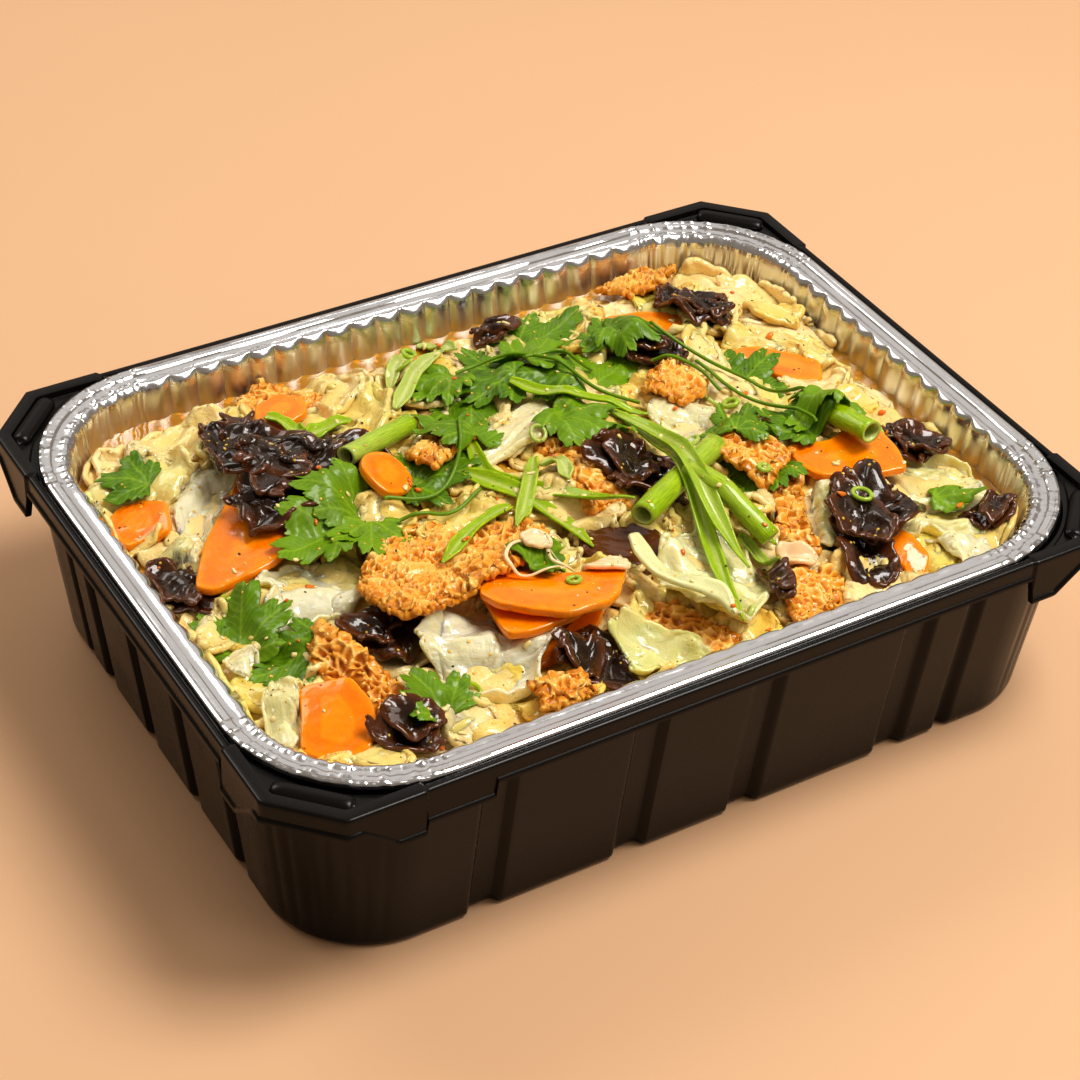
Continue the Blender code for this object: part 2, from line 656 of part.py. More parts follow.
def block_patch(length, width, seed):
    columns = max(3, round(length / 8.0))
    rows = max(2, round(width / 6.5))

    def place(along, across):
        x = (along - 0.5) * length
        y = (across - 0.5) * width
        ragged = 0.06 * width
        x += ragged * wander(seed, 3.0 * across, 9.0 * (along > 0.5))
        y += ragged * 1.6 * wander(seed + 0.5, 0.08 * x, 5.0 * (across > 0.5))
        return (x, y)
    return grid_patch(columns, rows, place)


def flat_shape(kind, outline, size, seed):
    """The patch of a piece on its own plan, before it's turned and placed."""
    length, width = size
    if outline == "block":
        return block_patch(length, width, seed)
    reach_of, rings, spokes = OUTLINES[outline]
    patch = polar_patch(reach_of(seed), rings, spokes)
    patch.points *= np.array((length / 2.0, width / 2.0))
    return patch


def keep_inside(points):
    """Move points that would cross the foil's wall back to its inside."""
    corner = np.array((FOOD_HALF_LENGTH - FOOD_CORNER_RADIUS, FOOD_HALF_WIDTH - FOOD_CORNER_RADIUS))
    result = points.copy()
    for index, point in enumerate(points):
        signs = np.where(point < 0, -1.0, 1.0)
        spot = np.abs(point)
        beyond = spot - corner
        if beyond[0] > 0 and beyond[1] > 0:
            distance = np.linalg.norm(beyond)
            if distance > FOOD_CORNER_RADIUS:
                spot = corner + beyond * FOOD_CORNER_RADIUS / distance
        else:
            spot = np.minimum(spot, (FOOD_HALF_LENGTH, FOOD_HALF_WIDTH))
        result[index] = spot * signs
    return result


def place_patch(patch, centre, turn):
    angle = math.radians(turn)
    spin = np.array(((math.cos(angle), math.sin(angle)), (-math.sin(angle), math.cos(angle))))
    patch.points = keep_inside(patch.points @ spin + np.array(centre, dtype=float))
    return patch


class Terrain:
    """The height of the top of what already lies in the tray, on a grid of one-millimetre cells."""

    def __init__(self, half_length, half_width, level):
        self.origin = np.array((-half_length, -half_width), dtype=float)
        self.shape = (2 * half_length + 1, 2 * half_width + 1)
        self.height = np.full(self.shape, float(level))

    def widened(self):
        """Each cell's height, or its highest neighbour's."""
        padded = np.pad(self.height, 1, mode="edge")
        tall = self.height.copy()
        for across in range(3):
            for along in range(3):
                tall = np.maximum(tall, padded[across:across + self.shape[0], along:along + self.shape[1]])
        return tall

    def cells_under(self, points, triangles):
        """The cells under each triangle, with the weights of its corners there."""
        found = []
        spots = points - self.origin
        for number, face in enumerate(triangles):
            a, b, c = spots[list(face)]
            area = (b[0] - a[0]) * (c[1] - a[1]) - (c[0] - a[0]) * (b[1] - a[1])
            if abs(area) < 1e-6:
                continue
            low = np.maximum(np.floor(np.minimum(np.minimum(a, b), c)).astype(int), 0)
            high = np.minimum(np.ceil(np.maximum(np.maximum(a, b), c)).astype(int), np.array(self.shape) - 1)
            columns, rows = np.meshgrid(
                np.arange(low[0], high[0] + 1), np.arange(low[1], high[1] + 1), indexing="ij",
            )
            second = ((columns - a[0]) * (c[1] - a[1]) - (c[0] - a[0]) * (rows - a[1])) / area
            third = ((b[0] - a[0]) * (rows - a[1]) - (columns - a[0]) * (b[1] - a[1])) / area
            first = 1.0 - second - third
            within = (first > -1e-6) & (second > -1e-6) & (third > -1e-6)
            count = int(within.sum())
            if count:
                corners = np.tile(np.array(face), (count, 1))
                weights = np.column_stack((first[within], second[within], third[within]))
                found.append((columns[within], rows[within], corners, weights))
        if not found:
            return None
        return tuple(np.concatenate([item[part] for item in found]) for part in range(4))

    def raise_to(self, points, heights, triangles):
        """Lay a surface on the grid where it stands higher than what is there."""
        cells = self.cells_under(points, triangles)
        if cells is None:
            return
        columns, rows, corners, weights = cells
        level = (heights[corners] * weights).sum(axis=1)
        np.maximum.at(self.height, (columns, rows), level)

    def sample(self, grid, points):
        cells = np.rint(points - self.origin).astype(int)
        cells = np.clip(cells, 0, np.array(self.shape) - 1)
        return grid[cells[:, 0], cells[:, 1]]


def flattest_rest(spots, levels, steepest):
    """The lowest plane above all the levels, among slopes up to the steepest."""
    best = None
    middle = spots.mean(axis=0)
    for slope_x in np.linspace(-steepest, steepest, 13):
        for slope_y in np.linspace(-steepest, steepest, 13):
            lift = (levels - slope_x * spots[:, 0] - slope_y * spots[:, 1]).max()
            mean = lift + slope_x * middle[0] + slope_y * middle[1]
            if best is None or mean < best[0]:
                best = (mean, lift, slope_x, slope_y)
    return best[1:]


def lift_clear(base, cells, ground):
    """Raise the corners of triangles that cut into the ground, as little as clears it."""
    columns, rows, corners, weights = cells
    needed = ground[columns, rows] + CONTACT_GAP
    share = weights / (weights ** 2).sum(axis=1, keepdims=True)
    for attempt in range(60):
        short = needed - (base[corners] * weights).sum(axis=1)
        worst = short.max()
        if worst < 0.02:
            break
        lift = np.zeros(len(base))
        sunk = short > 0.0
        for part in range(3):
            np.maximum.at(lift, corners[sunk][:, part], (short[sunk] * share[sunk][:, part]))
        base = base + lift
    return base + max(0.0, worst) + 0.02


def settle(patch, terrain, bend, taut):
    """Heights of a patch's underside as it lies on the terrain: stiff at bend 0, draped at bend 1."""
    ground = terrain.widened()
    cells = terrain.cells_under(patch.points, patch.triangles)
    spots = np.column_stack((cells[0], cells[1])) + terrain.origin
    lift, slope_x, slope_y = flattest_rest(spots, ground[cells[0], cells[1]], STEEPEST_REST)
    stiff = lift + slope_x * patch.points[:, 0] + slope_y * patch.points[:, 1]
    draped = terrain.sample(ground, patch.points)
    for attempt in range(taut):
        draped = np.maximum(draped, patch.neighbours_mean(draped))
    return lift_clear(stiff * (1.0 - bend) + draped * bend, cells, ground)


def edge_share(local, size):
    """How far each point lies out from a piece's middle, from 0 there to 1 at its edge."""
    return np.minimum(1.0, (2 * local[:, 0] / size[0]) ** 2 + (2 * local[:, 1] / size[1]) ** 2)


def carrot_form(patch, local, size, seed):
    return np.zeros(len(local)), CARROT_THICKNESS + CARROT_CROWN * (1.0 - edge_share(local, size))


def curd_form(patch, local, size, seed):
    thick = np.full(len(local), CURD_THICKNESS)
    thick[patch.rim] = CURD_EDGE_THICKNESS
    crags = np.array([wander(seed, 0.31 * x, 0.31 * y) for x, y in local])
    return np.zeros(len(local)), thick + CURD_CRAG_HEIGHT * crags


def cabbage_form(patch, local, size, seed):
    folds = np.array([
        0.5 + 0.5 * math.sin(0.21 * y + 2.2 * wander(seed, 0.03 * x, 0.03 * y) + seed) for x, y in local
    ])
    return CABBAGE_FOLD_SHARE * min(size) * folds, np.full(len(local), CABBAGE_THICKNESS)


def fungus_form(patch, local, size, seed):
    edge = edge_share(local, size)
    ruffle = np.array([0.5 + 0.9 * wander(seed, 0.11 * x, 0.11 * y) for x, y in local])
    crags = np.array([wander(seed + 3, 0.25 * x, 0.25 * y) for x, y in local])
    thick = FUNGUS_THICKNESS + FUNGUS_CRAG_HEIGHT * np.maximum(0.0, crags)
    return np.maximum(0.0, FUNGUS_RUFFLE_SHARE * min(size) * edge * ruffle), thick


def leaf_form(patch, local, size, seed):
    edge = edge_share(local, size)
    wave = np.array([0.5 + 0.8 * wander(seed, 0.09 * x, 0.09 * y) for x, y in local])
    return np.maximum(0.0, LEAF_WAVE * wave * (0.3 + 0.7 * edge)), np.full(len(local), LEAF_THICKNESS)


# How each kind of food is formed, how far it bends, and how tightly it spans hollows
KINDS = {
    "carrot": (carrot_form, 0.10, 3),
    "curd": (curd_form, 0.45, 3),
    "cabbage": (cabbage_form, 1.0, 2),
    "fungus": (fungus_form, 0.8, 2),
    "leaf": (leaf_form, 0.9, 3),
}


def make_piece(terrain, materials, name, kind, outline, centre, size, turn, seed):
    form, bend, taut = KINDS[kind]
    patch = flat_shape(kind, outline, size, seed)
    local = patch.points.copy()
    wave, thickness = form(patch, local, size, seed)
    place_patch(patch, centre, turn)
    base = settle(patch, terrain, bend, taut) + wave
    points, faces = patch.solid(base, thickness)
    terrain.raise_to(patch.points, base + thickness, patch.triangles)
    return add_object(name, points, faces, materials[kind], sharp_angle=50.0)


def smooth_route(stops, pieces):
    """Points at even steps along a smooth curve through the stops."""
    stops = np.array(stops, dtype=float)
    ends = np.vstack((2 * stops[0] - stops[1], stops, 2 * stops[-1] - stops[-2]))
    dense = []
    for index in range(1, len(ends) - 2):
        p0, p1, p2, p3 = ends[index - 1:index + 3]
        for step in range(12):
            t = step / 12.0
            dense.append(0.5 * (
                2 * p1 + (p2 - p0) * t + (2 * p0 - 5 * p1 + 4 * p2 - p3) * t ** 2
                + (3 * p1 - p0 - 3 * p2 + p3) * t ** 3
            ))
    dense.append(stops[-1])
    dense = np.array(dense)
    lengths = np.concatenate(((0.0,), np.cumsum(np.linalg.norm(np.diff(dense, axis=0), axis=1))))
    even = np.linspace(0.0, lengths[-1], pieces + 1)
    return np.column_stack([np.interp(even, lengths, dense[:, axis]) for axis in range(2)]), lengths[-1]


def sideways(route):
    along = np.gradient(route, axis=0)
    along /= np.linalg.norm(along, axis=1)[:, None]
    return np.column_stack((-along[:, 1], along[:, 0]))


def make_blade(terrain, materials, name, kind, stops, width):
    """A flat onion leaf or shred: a strip that narrows to its ends, hollow along its middle."""
    length = smooth_route(stops, 1)[1]
    pieces = max(4, round(length / 9.0))
    route = smooth_route(stops, pieces)[0]
    side = sideways(route)

    def place(along, out):
        index = round(along * pieces)
        half = width / 2.0 * max(0.22, min(1.0, 5.0 * (1.0 - along), 3.0 * along + 0.4))
        return tuple(route[index] + side[index] * half * (2.0 * out - 1.0))

    patch = grid_patch(pieces, 2, place)
    patch.points = keep_inside(patch.points)
    taut = 6 if kind == "blade" else 3
    base = settle(patch, terrain, 1.0, taut)
    wave = np.zeros(len(base))
    wave[patch.rim] = ONION_CUP
    thick = ONION_BLADE_THICKNESS if kind == "blade" else ONION_CURL_THICKNESS
    points, faces = patch.solid(base + wave, np.full(len(base), thick))
    flip_if_inside_out(points, faces)
    terrain.raise_to(patch.points, base + wave + thick, patch.triangles)
    material = materials["onion_white" if kind == "curl" else "onion"]
    return add_object(name, points, faces, material, sharp_angle=50.0)


def make_tube(terrain, materials, name, stops, diameter):
    """A cut length of onion stalk, straight from end to end."""
    pieces = TUBE_PIECES
    sides = TUBE_SIDES
    route = smooth_route(stops, pieces)[0]
    radius = diameter / 2.0
    side = sideways(route)
    ground = terrain.widened()
    levels = []
    for spot, out in zip(route, side):
        spread = np.array([spot + out * radius * part for part in (-1.0, -0.5, 0.0, 0.5, 1.0)])
        levels.append(terrain.sample(ground, spread).max())
    dense = smooth_route(stops, 40)[0]
    under = terrain.sample(ground, dense)
    for out in (-0.6, 0.6):
        under = np.maximum(under, terrain.sample(ground, dense + sideways(dense) * radius * out))
    line = np.linspace(levels[0], levels[-1], pieces + 1)
    short = (under - np.interp(np.linspace(0, 1, 41), np.linspace(0, 1, pieces + 1), line)).max()
    line = line + max(0.0, short) + CONTACT_GAP + radius
    points = []
    for spot, out, level in zip(route, side, line):
        for step in range(sides):
            angle = 2.0 * math.pi * step / sides
            flat = spot + out * radius * math.cos(angle)
            points.append((flat[0], flat[1], level + radius * math.sin(angle)))
    faces = []
    for piece in range(pieces):
        for step in range(sides):
            following = (step + 1) % sides
            a = piece * sides + step
            b = piece * sides + following
            faces.append((a, b, b + sides))
            faces.append((a, b + sides, a + sides))
    last = pieces * sides
    for step in range(1, sides - 1):
        faces.append((0, step + 1, step))
        faces.append((last, last + step, last + step + 1))
    flip_if_inside_out(points, faces)
    array = np.array(points)
    terrain.raise_to(array[:, :2], array[:, 2], np.array(faces))
    return add_object(name, points, faces, materials["onion"], sharp_angle=50.0)


def flip_if_inside_out(points, faces):
    """Turn every face over where the solid's signed volume comes out negative."""
    spots = np.array([tuple(point) for point in points])
    corners = np.array(faces)
    a, b, c = (spots[corners[:, part]] for part in range(3))
    if np.einsum("ij,ij->i", a, np.cross(b, c)).sum() < 0.0:
        faces[:] = [tuple(reversed(face)) for face in faces]


def heap_height(x, y):
    """The bare heap's height above the broth."""
    along = max(0.0, 1.0 - (x / HEAP_HALF_LENGTH) ** 2)
    across = max(0.0, 1.0 - (y / HEAP_HALF_WIDTH) ** 2)
    return HEAP_EDGE_HEIGHT + HEAP_RISE * along * across + 1.0 * wander(5, 0.05 * x, 0.05 * y)


def make_heap(materials):
    """The heap of chopped cabbage: a low dome with crumpled lumps fused on to it."""
    def reach(angle, spoke):
        square = (abs(math.cos(angle)) ** 5 + abs(math.sin(angle)) ** 5) ** (-1 / 5)
        return square * (1.0 + 0.03 * wander(9, 3 * math.cos(angle), 3 * math.sin(angle)) - 0.02)

    patch = polar_patch(reach, 4, 26)
    patch.points *= np.array((HEAP_HALF_LENGTH, HEAP_HALF_WIDTH))
    patch.points = keep_inside(patch.points)
    floor = BROTH_LEVEL + CONTACT_GAP
    base = np.full(len(patch.points), floor)
    rise = np.array([heap_height(x, y) for x, y in patch.points])
    rise[patch.rim] = 1.4
    points, faces = patch.solid(base, rise)
    heap = add_object("cabbage_heap", points, faces, materials["heap"], sharp_angle=50.0)
    lumps = bpy.data.collections.new("lumps")
    bpy.context.scene.collection.children.link(lumps)
    for column in range(HEAP_LUMPS_LONG):
        for row in range(HEAP_LUMPS_SHORT):
            lump_seed = 20 + column * HEAP_LUMPS_SHORT + row
            x = ((column + 0.5) / HEAP_LUMPS_LONG * 2.0 - 1.0) * 0.98 * HEAP_HALF_LENGTH
            y = ((row + 0.5) / HEAP_LUMPS_SHORT * 2.0 - 1.0) * 0.98 * HEAP_HALF_WIDTH
            x += 9.0 * wander(lump_seed, 0.3, 0.7)
            y += 9.0 * wander(lump_seed, 5.3, 1.7)
            if not covered(x, y):
                add_lump(lumps, materials["heap"], x, y, lump_seed)
    joined = heap.modifiers.new("join", "BOOLEAN")
    joined.operation = "UNION"
    joined.operand_type = "COLLECTION"
    joined.collection = lumps
    joined.solver = "EXACT"
    bpy.context.view_layer.update()
    mesh = bpy.data.meshes.new_from_object(heap.evaluated_get(bpy.context.evaluated_depsgraph_get()))
    heap.modifiers.clear()
    heap.data = mesh
    for lump in list(lumps.objects):
        bpy.data.objects.remove(lump, do_unlink=True)
    bpy.data.collections.remove(lumps)
    keep_largest_body(heap)
    return heap


def covered(x, y):
    """Whether a place on the heap lies well under one of the named pieces."""
    for piece in PIECES:
        centre, size = piece[3], piece[4]
        if math.hypot(x - centre[0], y - centre[1]) < 0.36 * max(size):
            return True
    return False


def add_lump(collection, material, x, y, lump_seed):
    """One crumpled lump, an uneven squashed ball half sunk in the heap."""
    shape = bmesh.new()
    bmesh.ops.create_icosphere(shape, subdivisions=2, radius=1.0)
    long = HEAP_LUMP_SIZE * (0.9 + 0.35 * wander(lump_seed, 2.1, 0.4))
    short = 0.72 * long
    turn = 3.1 * wander(lump_seed, 8.8, 3.3)
    level = BROTH_LEVEL + heap_height(x, y) - 1.2
    for vertex in shape.verts:
        ball = vertex.co.copy()
        dent = 1.0 + 0.42 * wander(lump_seed, 2.4 * ball.x + ball.z, 2.4 * ball.y - ball.z)
        flat_x = ball.x * long * dent
        flat_y = ball.y * short * dent
        spot = np.array((
            x + flat_x * math.cos(turn) - flat_y * math.sin(turn),
            y + flat_x * math.sin(turn) + flat_y * math.cos(turn),
        ))
        inside = keep_inside(spot[None, :] * 1.02)[0] / 1.02
        height = max(level + ball.z * HEAP_LUMP_HEIGHT * dent, BROTH_LEVEL + 2.0 * CONTACT_GAP)
        vertex.co = Vector((inside[0], inside[1], height)) * MM
    mesh = bpy.data.meshes.new(f"lump_{lump_seed}")
    shape.to_mesh(mesh)
    shape.free()
    mesh.materials.append(material)
    lump = bpy.data.objects.new(mesh.name, mesh)
    collection.objects.link(lump)


def keep_largest_body(piece):
    """Drop loose scraps and sealed hollows, split every face into triangles and weld slivers."""
    shape = bmesh.new()
    shape.from_mesh(piece.data)
    bmesh.ops.triangulate(shape, faces=shape.faces)
    bmesh.ops.remove_doubles(shape, verts=shape.verts, dist=0.02 * MM)
    unseen = set(shape.verts)
    bodies = []
    while unseen:
        stack = [unseen.pop()]
        body = set(stack)
        while stack:
            for edge in stack.pop().link_edges:
                for vertex in edge.verts:
                    if vertex in unseen:
                        unseen.remove(vertex)
                        body.add(vertex)
                        stack.append(vertex)
        bodies.append(body)
    bodies.sort(key=len)
    for body in bodies[:-1]:
        bmesh.ops.delete(shape, geom=list(body), context="VERTS")
    bmesh.ops.dissolve_limit(
        shape, angle_limit=math.radians(1.0), use_dissolve_boundaries=False,
        verts=shape.verts, edges=shape.edges, delimit=set(),
    )
    bmesh.ops.triangulate(shape, faces=shape.faces)
    shape.to_mesh(piece.data)
    shape.free()


def lay_surface(terrain, piece):
    """Lay an object's top faces on the terrain."""
    mesh = piece.data
    mesh.calc_loop_triangles()
    spots = np.array([tuple(vertex.co) for vertex in mesh.vertices]) / MM
    faces = np.array([tuple(face.vertices) for face in mesh.loop_triangles if face.normal.z > 0.05])
    terrain.raise_to(spots[:, :2], spots[:, 2], faces)


def main():
    clear_scene()
    make_outer_tray()
    make_foil_tray()
    make_broth()
    materials = {
        kind: make_material(kind)
        for kind in ("heap", "carrot", "curd", "cabbage", "fungus", "leaf", "onion", "onion_white")
    }
    heap = make_heap(materials)
    terrain = Terrain(150, 112, BROTH_LEVEL)
    lay_surface(terrain, heap)
    for piece in PIECES:
        make_piece(terrain, materials, *piece)
    for name, kind, stops, width in ONIONS:
        if kind == "tube":
            make_tube(terrain, materials, name, stops, width)
        else:
            make_blade(terrain, materials, name, kind, stops, width)


main()
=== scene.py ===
"""Foil tray meal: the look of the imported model, in metres, with shapes worked out in millimetres."""
import math

import bmesh
import bpy
import numpy as np
from mathutils import Matrix, Vector
from mathutils.bvhtree import BVHTree


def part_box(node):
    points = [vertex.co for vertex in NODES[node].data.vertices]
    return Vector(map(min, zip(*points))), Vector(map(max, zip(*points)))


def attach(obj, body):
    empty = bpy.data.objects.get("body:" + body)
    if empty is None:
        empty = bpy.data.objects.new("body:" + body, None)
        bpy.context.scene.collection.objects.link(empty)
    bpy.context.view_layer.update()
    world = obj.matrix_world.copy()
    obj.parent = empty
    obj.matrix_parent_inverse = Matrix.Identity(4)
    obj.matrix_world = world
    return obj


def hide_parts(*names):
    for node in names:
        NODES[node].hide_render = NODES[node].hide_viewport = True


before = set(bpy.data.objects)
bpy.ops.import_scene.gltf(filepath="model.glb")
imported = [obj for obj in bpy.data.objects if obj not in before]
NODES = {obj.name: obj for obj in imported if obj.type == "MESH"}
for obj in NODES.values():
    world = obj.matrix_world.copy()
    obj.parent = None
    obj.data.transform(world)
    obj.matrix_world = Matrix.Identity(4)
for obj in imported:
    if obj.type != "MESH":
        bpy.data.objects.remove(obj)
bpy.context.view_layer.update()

MM = 0.001
GRID_HALF = (150, 112)
BROTH_LEVEL = 60.0
BROTH_FLOOR = 12.0
FOOD_HALF = (143.2, 103.8)
FOOD_RADIUS = 40.0
FOOD_CEILING = 94.0
LIGHT_FLOOR = (0.70, 0.43, 0.25)

random = np.random.default_rng(7)


# Number fields

def lattice(x, y, z, seed):
    """A repeatable number from 0 to 1 at each whole-numbered point."""
    mixed = x * 73856093 ^ y * 19349663 ^ z * 83492791 ^ (seed + 11) * 668265263
    mixed = (mixed ^ (mixed >> 15)) * 2246822519 & 0xFFFFFFFF
    mixed = (mixed ^ (mixed >> 13)) * 3266489917 & 0xFFFFFFFF
    return ((mixed ^ (mixed >> 16)) & 0xFFFFFFFF) / 2.0 ** 32


def noise(x, y, z=0.0, seed=0):
    """Smooth noise from -1 to 1."""
    spots = np.broadcast_arrays(*(np.asarray(value, dtype=float) for value in (x, y, z)))
    cells = [np.floor(value).astype(np.int64) for value in spots]
    parts = [value - np.floor(value) for value in spots]
    ease = [t * t * t * (t * (t * 6.0 - 15.0) + 10.0) for t in parts]
    total = 0.0
    for corner in range(8):
        step = (corner & 1, corner >> 1 & 1, corner >> 2)
        weight = 1.0
        for axis in range(3):
            weight = weight * (ease[axis] if step[axis] else 1.0 - ease[axis])
        total = total + weight * lattice(cells[0] + step[0], cells[1] + step[1], cells[2] + step[2], seed)
    return 2.0 * total - 1.0


def ripple(x, y, scale, z=0.0, seed=0):
    """Noise over a plan at one scale."""
    return noise(x * scale, y * scale, z, seed)


def rough(x, y, z=0.0, seed=0, octaves=3):
    """Noise with finer noise added to it."""
    total = 0.0
    for octave in range(octaves):
        scale = 2.0 ** octave
        total = total + noise(x * scale, y * scale, z * scale, seed + octave) / scale
    return total / 1.6


def cell_noise(x, y, seed):
    """Distances to the nearest and the second nearest of points strewn one to a cell."""
    base_x = np.floor(x).astype(np.int64)
    base_y = np.floor(y).astype(np.int64)
    first = np.full(np.shape(x), 9.0)
    second = np.full(np.shape(x), 9.0)
    for step_x in (-1, 0, 1):
        for step_y in (-1, 0, 1):
            cell_x = base_x + step_x
            cell_y = base_y + step_y
            spot_x = cell_x + 0.12 + 0.76 * lattice(cell_x, cell_y, cell_x * 0, seed)
            spot_y = cell_y + 0.12 + 0.76 * lattice(cell_x, cell_y, cell_x * 0, seed + 5)
            away = np.hypot(x - spot_x, y - spot_y)
            second = np.minimum(second, np.maximum(first, away))
            first = np.minimum(first, away)
    return first, second


def facets(x, seed=0):
    """Straight lines between random heights from -1 to 1 at whole numbers."""
    cell = np.floor(x).astype(np.int64)
    here = lattice(cell, cell * 0, cell * 0, seed)
    following = lattice(cell + 1, cell * 0, cell * 0, seed)
    return 2.0 * (here + (following - here) * (x - cell)) - 1.0


def ease_between(low, high, value):
    share = np.clip((value - low) / (high - low), 0.0, 1.0)
    return share * share * (3.0 - 2.0 * share)


# Meshes from arrays

laid = []


def link(name, data):
    made = bpy.data.objects.new(name, data)
    bpy.context.scene.collection.objects.link(made)
    return made


def add_part(name, part, kind, slot, replaced=(), sharp=None):
    """One piece, in the material of its kind, from points in millimetres, lists of faces, and fields."""
    points, faces, fields = part
    groups = [np.asarray(group) for group in faces if len(group)]
    loops = np.concatenate([group.ravel() for group in groups])
    sizes = np.concatenate([np.full(len(group), group.shape[1]) for group in groups])
    starts = np.concatenate(((0,), np.cumsum(sizes)[:-1]))
    mesh = bpy.data.meshes.new(name)
    mesh.vertices.add(len(points))
    mesh.vertices.foreach_set("co", (np.asarray(points) * MM).astype(np.float32).ravel())
    mesh.loops.add(len(loops))
    mesh.loops.foreach_set("vertex_index", loops.astype(np.int32))
    mesh.polygons.add(len(sizes))
    mesh.polygons.foreach_set("loop_start", starts.astype(np.int32))
    mesh.update(calc_edges=True)
    mesh.validate()
    for key, values in fields.items():
        layer = mesh.attributes.new(key, "FLOAT_VECTOR", "POINT")
        layer.data.foreach_set("vector", np.asarray(values, dtype=np.float32).ravel())
    mesh.materials.append(MATERIALS[kind])
    mesh.shade_smooth()
    if sharp:
        mesh.set_sharp_from_angle(angle=math.radians(sharp))
    piece = link(name, mesh)
    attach(piece, "root")
    laid.append(piece)
    if replaced:
        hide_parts(*replaced)


def unit(rows):
    return rows / np.maximum(np.linalg.norm(rows, axis=1), 1e-9)[:, None]


def point_normals(points, triangles):
    a, b, c = (points[triangles[:, corner]] for corner in range(3))
    flat = np.cross(b - a, c - a)
    total = np.zeros_like(points)
    for corner in range(3):
        np.add.at(total, triangles[:, corner], flat)
    return unit(total)


def cell_polygons():
    """For each pattern of inside corners of a square, the triangles of its inside part."""
    table = {}
    for code in range(1, 16):
        ring = []
        for corner in range(4):
            here = code >> corner & 1
            following = code >> (corner + 1) % 4 & 1
            if here:
                ring.append(corner)
            if here != following:
                ring.append(4 + corner)
        table[code] = [(ring[0], ring[k], ring[k + 1]) for k in range(1, len(ring) - 1)]
    return table


CELL_POLYGONS = cell_polygons()


def cut_plan(field, reach, step):
    """Points, triangles and rim edges of the part of a plan where a field is above 0."""
    count_u = int(math.ceil(reach[0] / step))
    count_v = int(math.ceil(reach[1] / step))
    u, v = np.meshgrid(
        np.arange(-count_u, count_u + 1) * step, np.arange(-count_v, count_v + 1) * step, indexing="ij",
    )
    value = field(u, v)
    value[0, :] = value[-1, :] = value[:, 0] = value[:, -1] = -1.0
    inside = value > 0.0
    ids = np.arange(u.size).reshape(u.shape)
    code = (inside[:-1, :-1] * 1 + inside[1:, :-1] * 2 + inside[1:, 1:] * 4 + inside[:-1, 1:] * 8)
    total = u.size
    corners = [ids[:-1, :-1], ids[1:, :-1], ids[1:, 1:], ids[:-1, 1:]]
    # An edge point is numbered after the corner that its edge starts from
    edges = [total + ids[:-1, :-1], 2 * total + ids[1:, :-1], total + ids[:-1, 1:], 2 * total + ids[:-1, :-1]]
    local = corners + edges
    triangles = []
    for pattern, polygons in CELL_POLYGONS.items():
        chosen = code == pattern
        if chosen.any():
            for a, b, c in polygons:
                triangles.append(np.stack([local[a][chosen], local[b][chosen], local[c][chosen]], axis=1))
    triangles = np.concatenate(triangles)
    used, triangles = np.unique(triangles, return_inverse=True)
    triangles = triangles.reshape(-1, 3)
    flat_u, flat_v, flat_value = u.ravel(), v.ravel(), value.ravel()
    start = used % total
    other = start + np.where(used >= 2 * total, 1, np.where(used >= total, u.shape[1], 0))
    cut = used >= total
    gap = flat_value[start] - flat_value[other]
    share = np.where(cut, np.clip(flat_value[start] / np.where(gap == 0.0, 1.0, gap), 0.12, 0.88), 0.0)
    plan_u = flat_u[start] * (1.0 - share) + flat_u[other] * share
    plan_v = flat_v[start] * (1.0 - share) + flat_v[other] * share
    depth = np.where(cut, 0.0, flat_value[start])
    return plan_u, plan_v, depth, triangles, rim_of(triangles)


def rim_of(triangles):
    """Directed edges that only one triangle has."""
    directed = np.concatenate((triangles[:, (0, 1)], triangles[:, (1, 2)], triangles[:, (2, 0)]))
    count = int(triangles.max()) + 1
    forward = directed[:, 0] * count + directed[:, 1]
    backward = directed[:, 1] * count + directed[:, 0]
    return directed[~np.isin(forward, backward)]


def close_sheet(points, triangles, rim, half, relief=None, out=0.7, square=1.0, steps=3):
    """A closed solid round a sheet in space, with a rounded edge. Gives points, faces and source indices."""
    count = len(points)
    half = np.broadcast_to(half, count)
    relief = np.zeros(count) if relief is None else relief
    normals = point_normals(points, triangles)
    outward = np.zeros_like(points)
    along = points[rim[:, 1]] - points[rim[:, 0]]
    side = np.cross(along, normals[rim[:, 0]])
    np.add.at(outward, rim[:, 0], side)
    np.add.at(outward, rim[:, 1], side)
    edge = np.unique(rim)
    outward = unit(outward[edge])
    place = np.full(count, -1)
    place[edge] = np.arange(len(edge))
    layers = [points + normals * (half + relief)[:, None], points - normals * half[:, None]]
    source = [np.arange(count), np.arange(count)]
    rings = [rim]
    for step in range(1, steps):
        angle = math.pi * (0.5 - step / steps)
        outer = math.cos(angle) ** square
        level = math.copysign(abs(math.sin(angle)) ** square, math.sin(angle))
        thick = half[edge] + (relief[edge] if level > 0 else 0.0)
        rounding = outward * (half[edge] * out * outer)[:, None] + normals[edge] * (thick * level)[:, None]
        layers.append(points[edge] + rounding)
        source.append(edge)
        start = 2 * count + (step - 1) * len(edge)
        rings.append(place[rim] + start)
    rings.append(rim + count)
    faces = np.concatenate((triangles, triangles[:, ::-1] + count))
    quads = [
        np.column_stack((low[:, 0], low[:, 1], high[:, 1], high[:, 0])) for high, low in zip(rings, rings[1:])
    ]
    return np.concatenate(layers), [faces, np.concatenate(quads)], np.concatenate(source)


